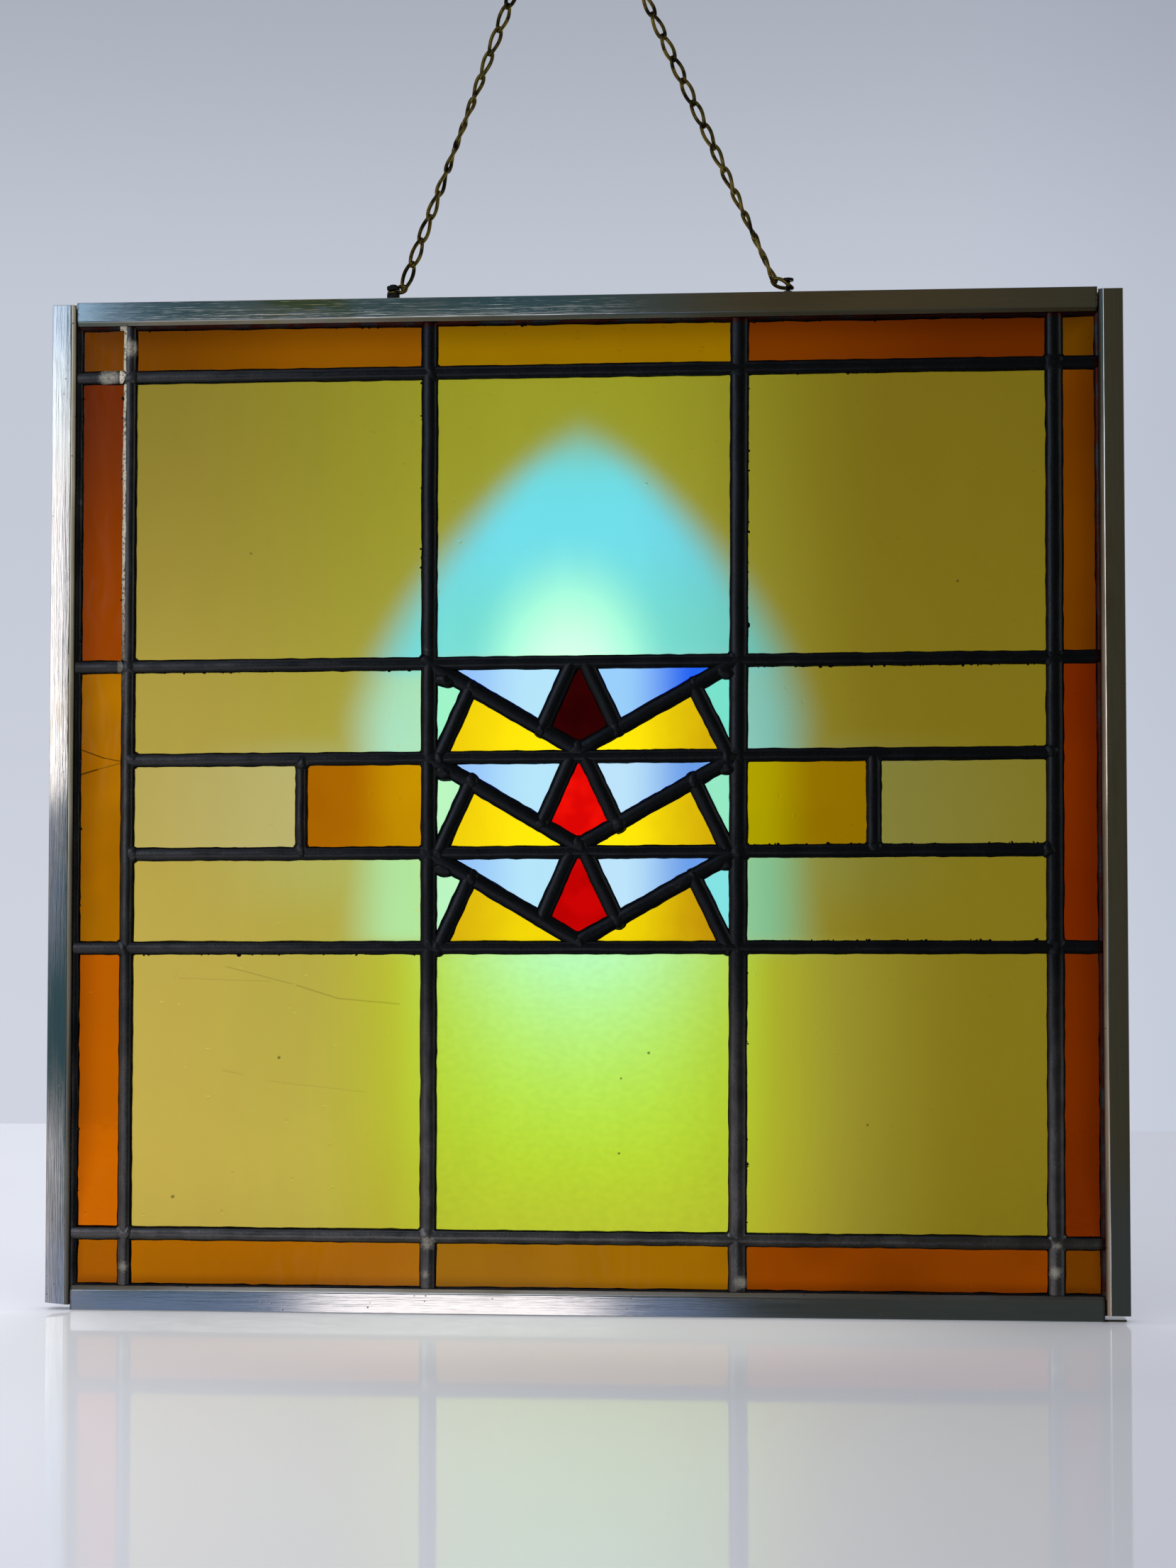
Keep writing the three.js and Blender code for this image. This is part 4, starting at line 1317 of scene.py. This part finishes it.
for first, last, *rest in CRUMB_LINES:
    crumb_line(crossing(*first), crossing(*last), *rest)
for piece in crumbs:
    select_only(piece)
    place_now()
bpy.data.objects.remove(crumb)
putty = join(crumbs, "putty_crumbs")
PUTTY = lead_finish(
    "old_putty", (0.02, 0.016, 0.012), (0.06, 0.05, 0.04), worn=0.7, roughness=0.8
)
finish_piece(putty, PUTTY, "lead", smooth=30)
print("crumbs:", len(crumbs))

# %% [markdown]
# ## The chain
# The chain is bent from brass wire. Each link is one long closed loop, twisted a quarter
# from end to end, so the next link hangs square to it and the whole run lies flat. Each
# run also turns slowly, so its links show wide in one place and narrow in another. A
# link is a closed curve with a round section, made once for each length. Its copies run
# up each side from a stud on the top rail, and both runs hang from one level link.

# %% Make a link
WIRE = 1.3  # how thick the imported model's square wire is
WIRE_SHOWN = 1.85  # the real round wire
TOUCH = 0.4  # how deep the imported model's links cut into each other, which joins them
LOOP_WIDTH = 4.1  # between the middles of a loop's two wires
LINK_STEPS = 40
link_blanks = []


def link_blank(reach):
    """A link along Z with its middle at the origin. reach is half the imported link's length."""
    curve = bpy.data.curves.new("link", "CURVE")
    curve.dimensions = "3D"
    curve.bevel_depth = WIRE_SHOWN / 2 * MM
    curve.bevel_resolution = 2
    spline = curve.splines.new("POLY")
    spline.points.add(LINK_STEPS - 1)
    spline.use_cyclic_u = True
    half = reach + (WIRE_SHOWN + TOUCH - WIRE) / 2 * MM  # the ends touch, and don't cut in
    for i, point in enumerate(spline.points):
        angle = 2 * math.pi * i / LINK_STEPS
        height = -math.cos(angle)
        twist = (height + 1) / 2 * math.pi / 2
        offset = math.sin(angle) * LOOP_WIDTH / 2 * MM
        point.co = (math.cos(twist) * offset, math.sin(twist) * offset, height * half, 1)
    piece = bpy.data.objects.new("link", curve)
    bpy.context.scene.collection.objects.link(piece)
    select_only(piece)
    bpy.ops.object.convert(target="MESH")
    link_blanks.append(bpy.context.object)
    return bpy.context.object


def lay_link(blank, middle, direction, turn):
    """Copy a blank to its place, and turn it round its own length."""
    piece = copy_of(blank)
    lift = Vector((0, 0, 1)).rotation_difference(direction)
    turned = lift.to_matrix() @ Matrix.Rotation(math.radians(turn), 3, "Z")
    piece.data.transform(Matrix.Translation(middle) @ turned.to_4x4())
    return piece


print("a link takes", LINK_STEPS, "points round its wire")

# %% A run of links
LEFT_STUD, RIGHT_STUD = 164.2, 352.2  # how far across the studs stand
STUD_RISE = 6.9
STEM = 0.75
HEAD_HEIGHT = 1.3
SEAM = 0.3  # the gap between a stud and the rail
TOP_REACH = 6.2  # half the level link at the top


def run_of_links(links, turns, hold_reach, hold_tilt, stud_across, foot_height, side, top):
    """The link that holds the stud, then the run up to the top.

    turns are how far the first link is turned and what each next one adds. hold_reach
    and hold_tilt are half the holding link's length and its slope.
    """
    tilt = math.radians(hold_tilt)
    lean = Vector((side * math.cos(tilt), 0, math.sin(tilt)))
    stem = on_panel(stud_across, -SEAM - (foot_height + STUD_RISE - HEAD_HEIGHT) / 2)
    middle = stem + lean * (hold_reach - (STEM + SEAM + WIRE / 2)) * MM
    end = middle + lean * hold_reach * MM
    overlap = (WIRE - TOUCH) * MM
    foot = end - lean * overlap
    direction = (top - foot).normalized()
    pitch = ((top - foot).length - overlap) / links
    reach = (pitch + overlap) / 2
    pieces = [lay_link(link_blank(hold_reach * MM), middle, lean, 90)]
    first_turn, turn_a_link = turns
    blank = link_blank(reach)
    for i in range(links):
        place_of_link = foot + direction * (reach + i * pitch)
        pieces.append(lay_link(blank, place_of_link, direction, first_turn + turn_a_link * i))
    return pieces


print("the studs stand", round(RIGHT_STUD - LEFT_STUD, 1), "mm apart")

# %% Lay both runs
LEFT_TOP = Vector(((WIRE - TOUCH - TOP_REACH) * MM, 0, -0.2 * MM))
right_ring = Vector((TOP_REACH * MM, 0, 0))
right_up = (right_ring - on_panel(RIGHT_STUD, 0)).normalized()
RIGHT_TOP = right_ring + right_up * (WIRE + SEAM) * MM
left_links = run_of_links(
    links=18, turns=(143, 16), hold_reach=3.8, hold_tilt=16, stud_across=LEFT_STUD,
    foot_height=1.8, side=1, top=LEFT_TOP,
)
left_links.append(lay_link(link_blank(TOP_REACH * MM), Vector(), Vector((1, 0, 0)), -45))
right_links = run_of_links(
    links=19, turns=(212, 11.5), hold_reach=4.6, hold_tilt=22, stud_across=RIGHT_STUD,
    foot_height=0.8, side=-1, top=RIGHT_TOP,
)
for blank in link_blanks:
    bpy.data.objects.remove(blank)
print("both runs hold", len(left_links) + len(right_links), "links")

# %% The brass finish
BRASS_COLOUR = (0.27, 0.205, 0.048)
TARNISH = (0.032, 0.025, 0.011)
BRASS_RELIEF = 0.00003
BRASS, graph = new_material("old_brass")
place = graph.place()
cloud = graph.noise(place, 160, 3)
grain = graph.noise(place, 1500, 2)
dull = graph.step(cloud, 0.42, 0.62)
graph.surface({
    "Base Color": graph.blend(dull, BRASS_COLOUR, TARNISH),
    "Metallic": 1.0,
    "Roughness": dull * 0.18 + grain * 0.1 + 0.2,
    "Normal": graph.bump(grain, BRASS_RELIEF),
})
for links, node_name in ((left_links, "chain_left"), (right_links, "chain_right")):
    chain = join(links, node_name + "_links")
    finish_piece(chain, BRASS, "chain", node_name, smooth=60)
    print(chain.name, "has", len(links), "links and", len(chain.data.polygons), "faces")

# %% [markdown]
# ## The studs
# The chain's last links go round two studs on the top rail. The left one is a small
# dark block with a round cap, the right one a thin screw with a wide flat head. Both
# are turned shapes, so each is a stack of short bevelled cylinders, with rings for the
# thread. One screw shape made by spinning a profile would do as well, but a stack is
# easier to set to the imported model's heights.

# %% Turn the studs
def rod(radius, low, high, middle, sides=24):
    """A cylinder between two heights over the top rail, in mm, with softened edges."""
    bpy.ops.object.select_all(action="DESELECT")
    bpy.ops.mesh.primitive_cylinder_add(
        vertices=sides, radius=radius * MM, depth=(high - low) * MM,
        location=on_panel(middle, -(low + high) / 2),
    )
    piece = bpy.context.object
    place_now()
    apply_modifier(
        piece, "BEVEL", width=min(radius, high - low) * 0.22 * MM, segments=2,
        limit_method="ANGLE", angle_limit=math.radians(50),
    )
    return piece


def threaded_stem(radius, low, high, middle, pitch=0.6):
    """A stem with rounded rings along it, which is how a fine thread reads."""
    rings = [rod(radius, low, high, middle)]
    height = low + pitch / 2
    while height < high:
        bpy.ops.object.select_all(action="DESELECT")
        bpy.ops.mesh.primitive_torus_add(
            major_radius=radius * MM, minor_radius=pitch * 0.22 * MM,
            major_segments=24, minor_segments=6, location=on_panel(middle, -height),
        )
        rings.append(bpy.context.object)
        place_now()
        height += pitch
    return rings


print("a stud's stem is", 2 * STEM, "mm thick")

# %% Put the studs together
STUD_TOP = SEAM + STUD_RISE
BLOCK_RADIUS, CAP_RADIUS = 3.4, 1.8
WASHER_RADIUS, HEAD_RADIUS = 2.2, 2.7
HEX, ROUND = 6, 32
DARK_IRON = lead_finish(
    "dark_iron", (0.03, 0.03, 0.034), (0.16, 0.14, 0.12), worn=0.72, roughness=0.38
)
left_stud = join(
    [rod(BLOCK_RADIUS, SEAM, SEAM + 2.9, LEFT_STUD, HEX),
     *threaded_stem(STEM, 1.0, 6.2, LEFT_STUD),
     rod(BLOCK_RADIUS, SEAM + 4.1, STUD_TOP - 0.7, LEFT_STUD, HEX),
     rod(CAP_RADIUS, SEAM + 5.6, STUD_TOP, LEFT_STUD, ROUND)],
    "left_stud",
)
finish_piece(left_stud, DARK_IRON, "stud", "hanger_stud_left")
right_stud = join(
    [rod(WASHER_RADIUS, SEAM, SEAM + 0.8, RIGHT_STUD, ROUND),
     *threaded_stem(STEM + 0.15, 0.8, 6.2, RIGHT_STUD),
     rod(HEAD_RADIUS, STUD_TOP - HEAD_HEIGHT, STUD_TOP, RIGHT_STUD)],
    "right_stud",
)
finish_piece(right_stud, DARK_IRON, "stud", "hanger_stud_right")
print("studs:", len(left_stud.data.polygons) + len(right_stud.data.polygons), "faces")
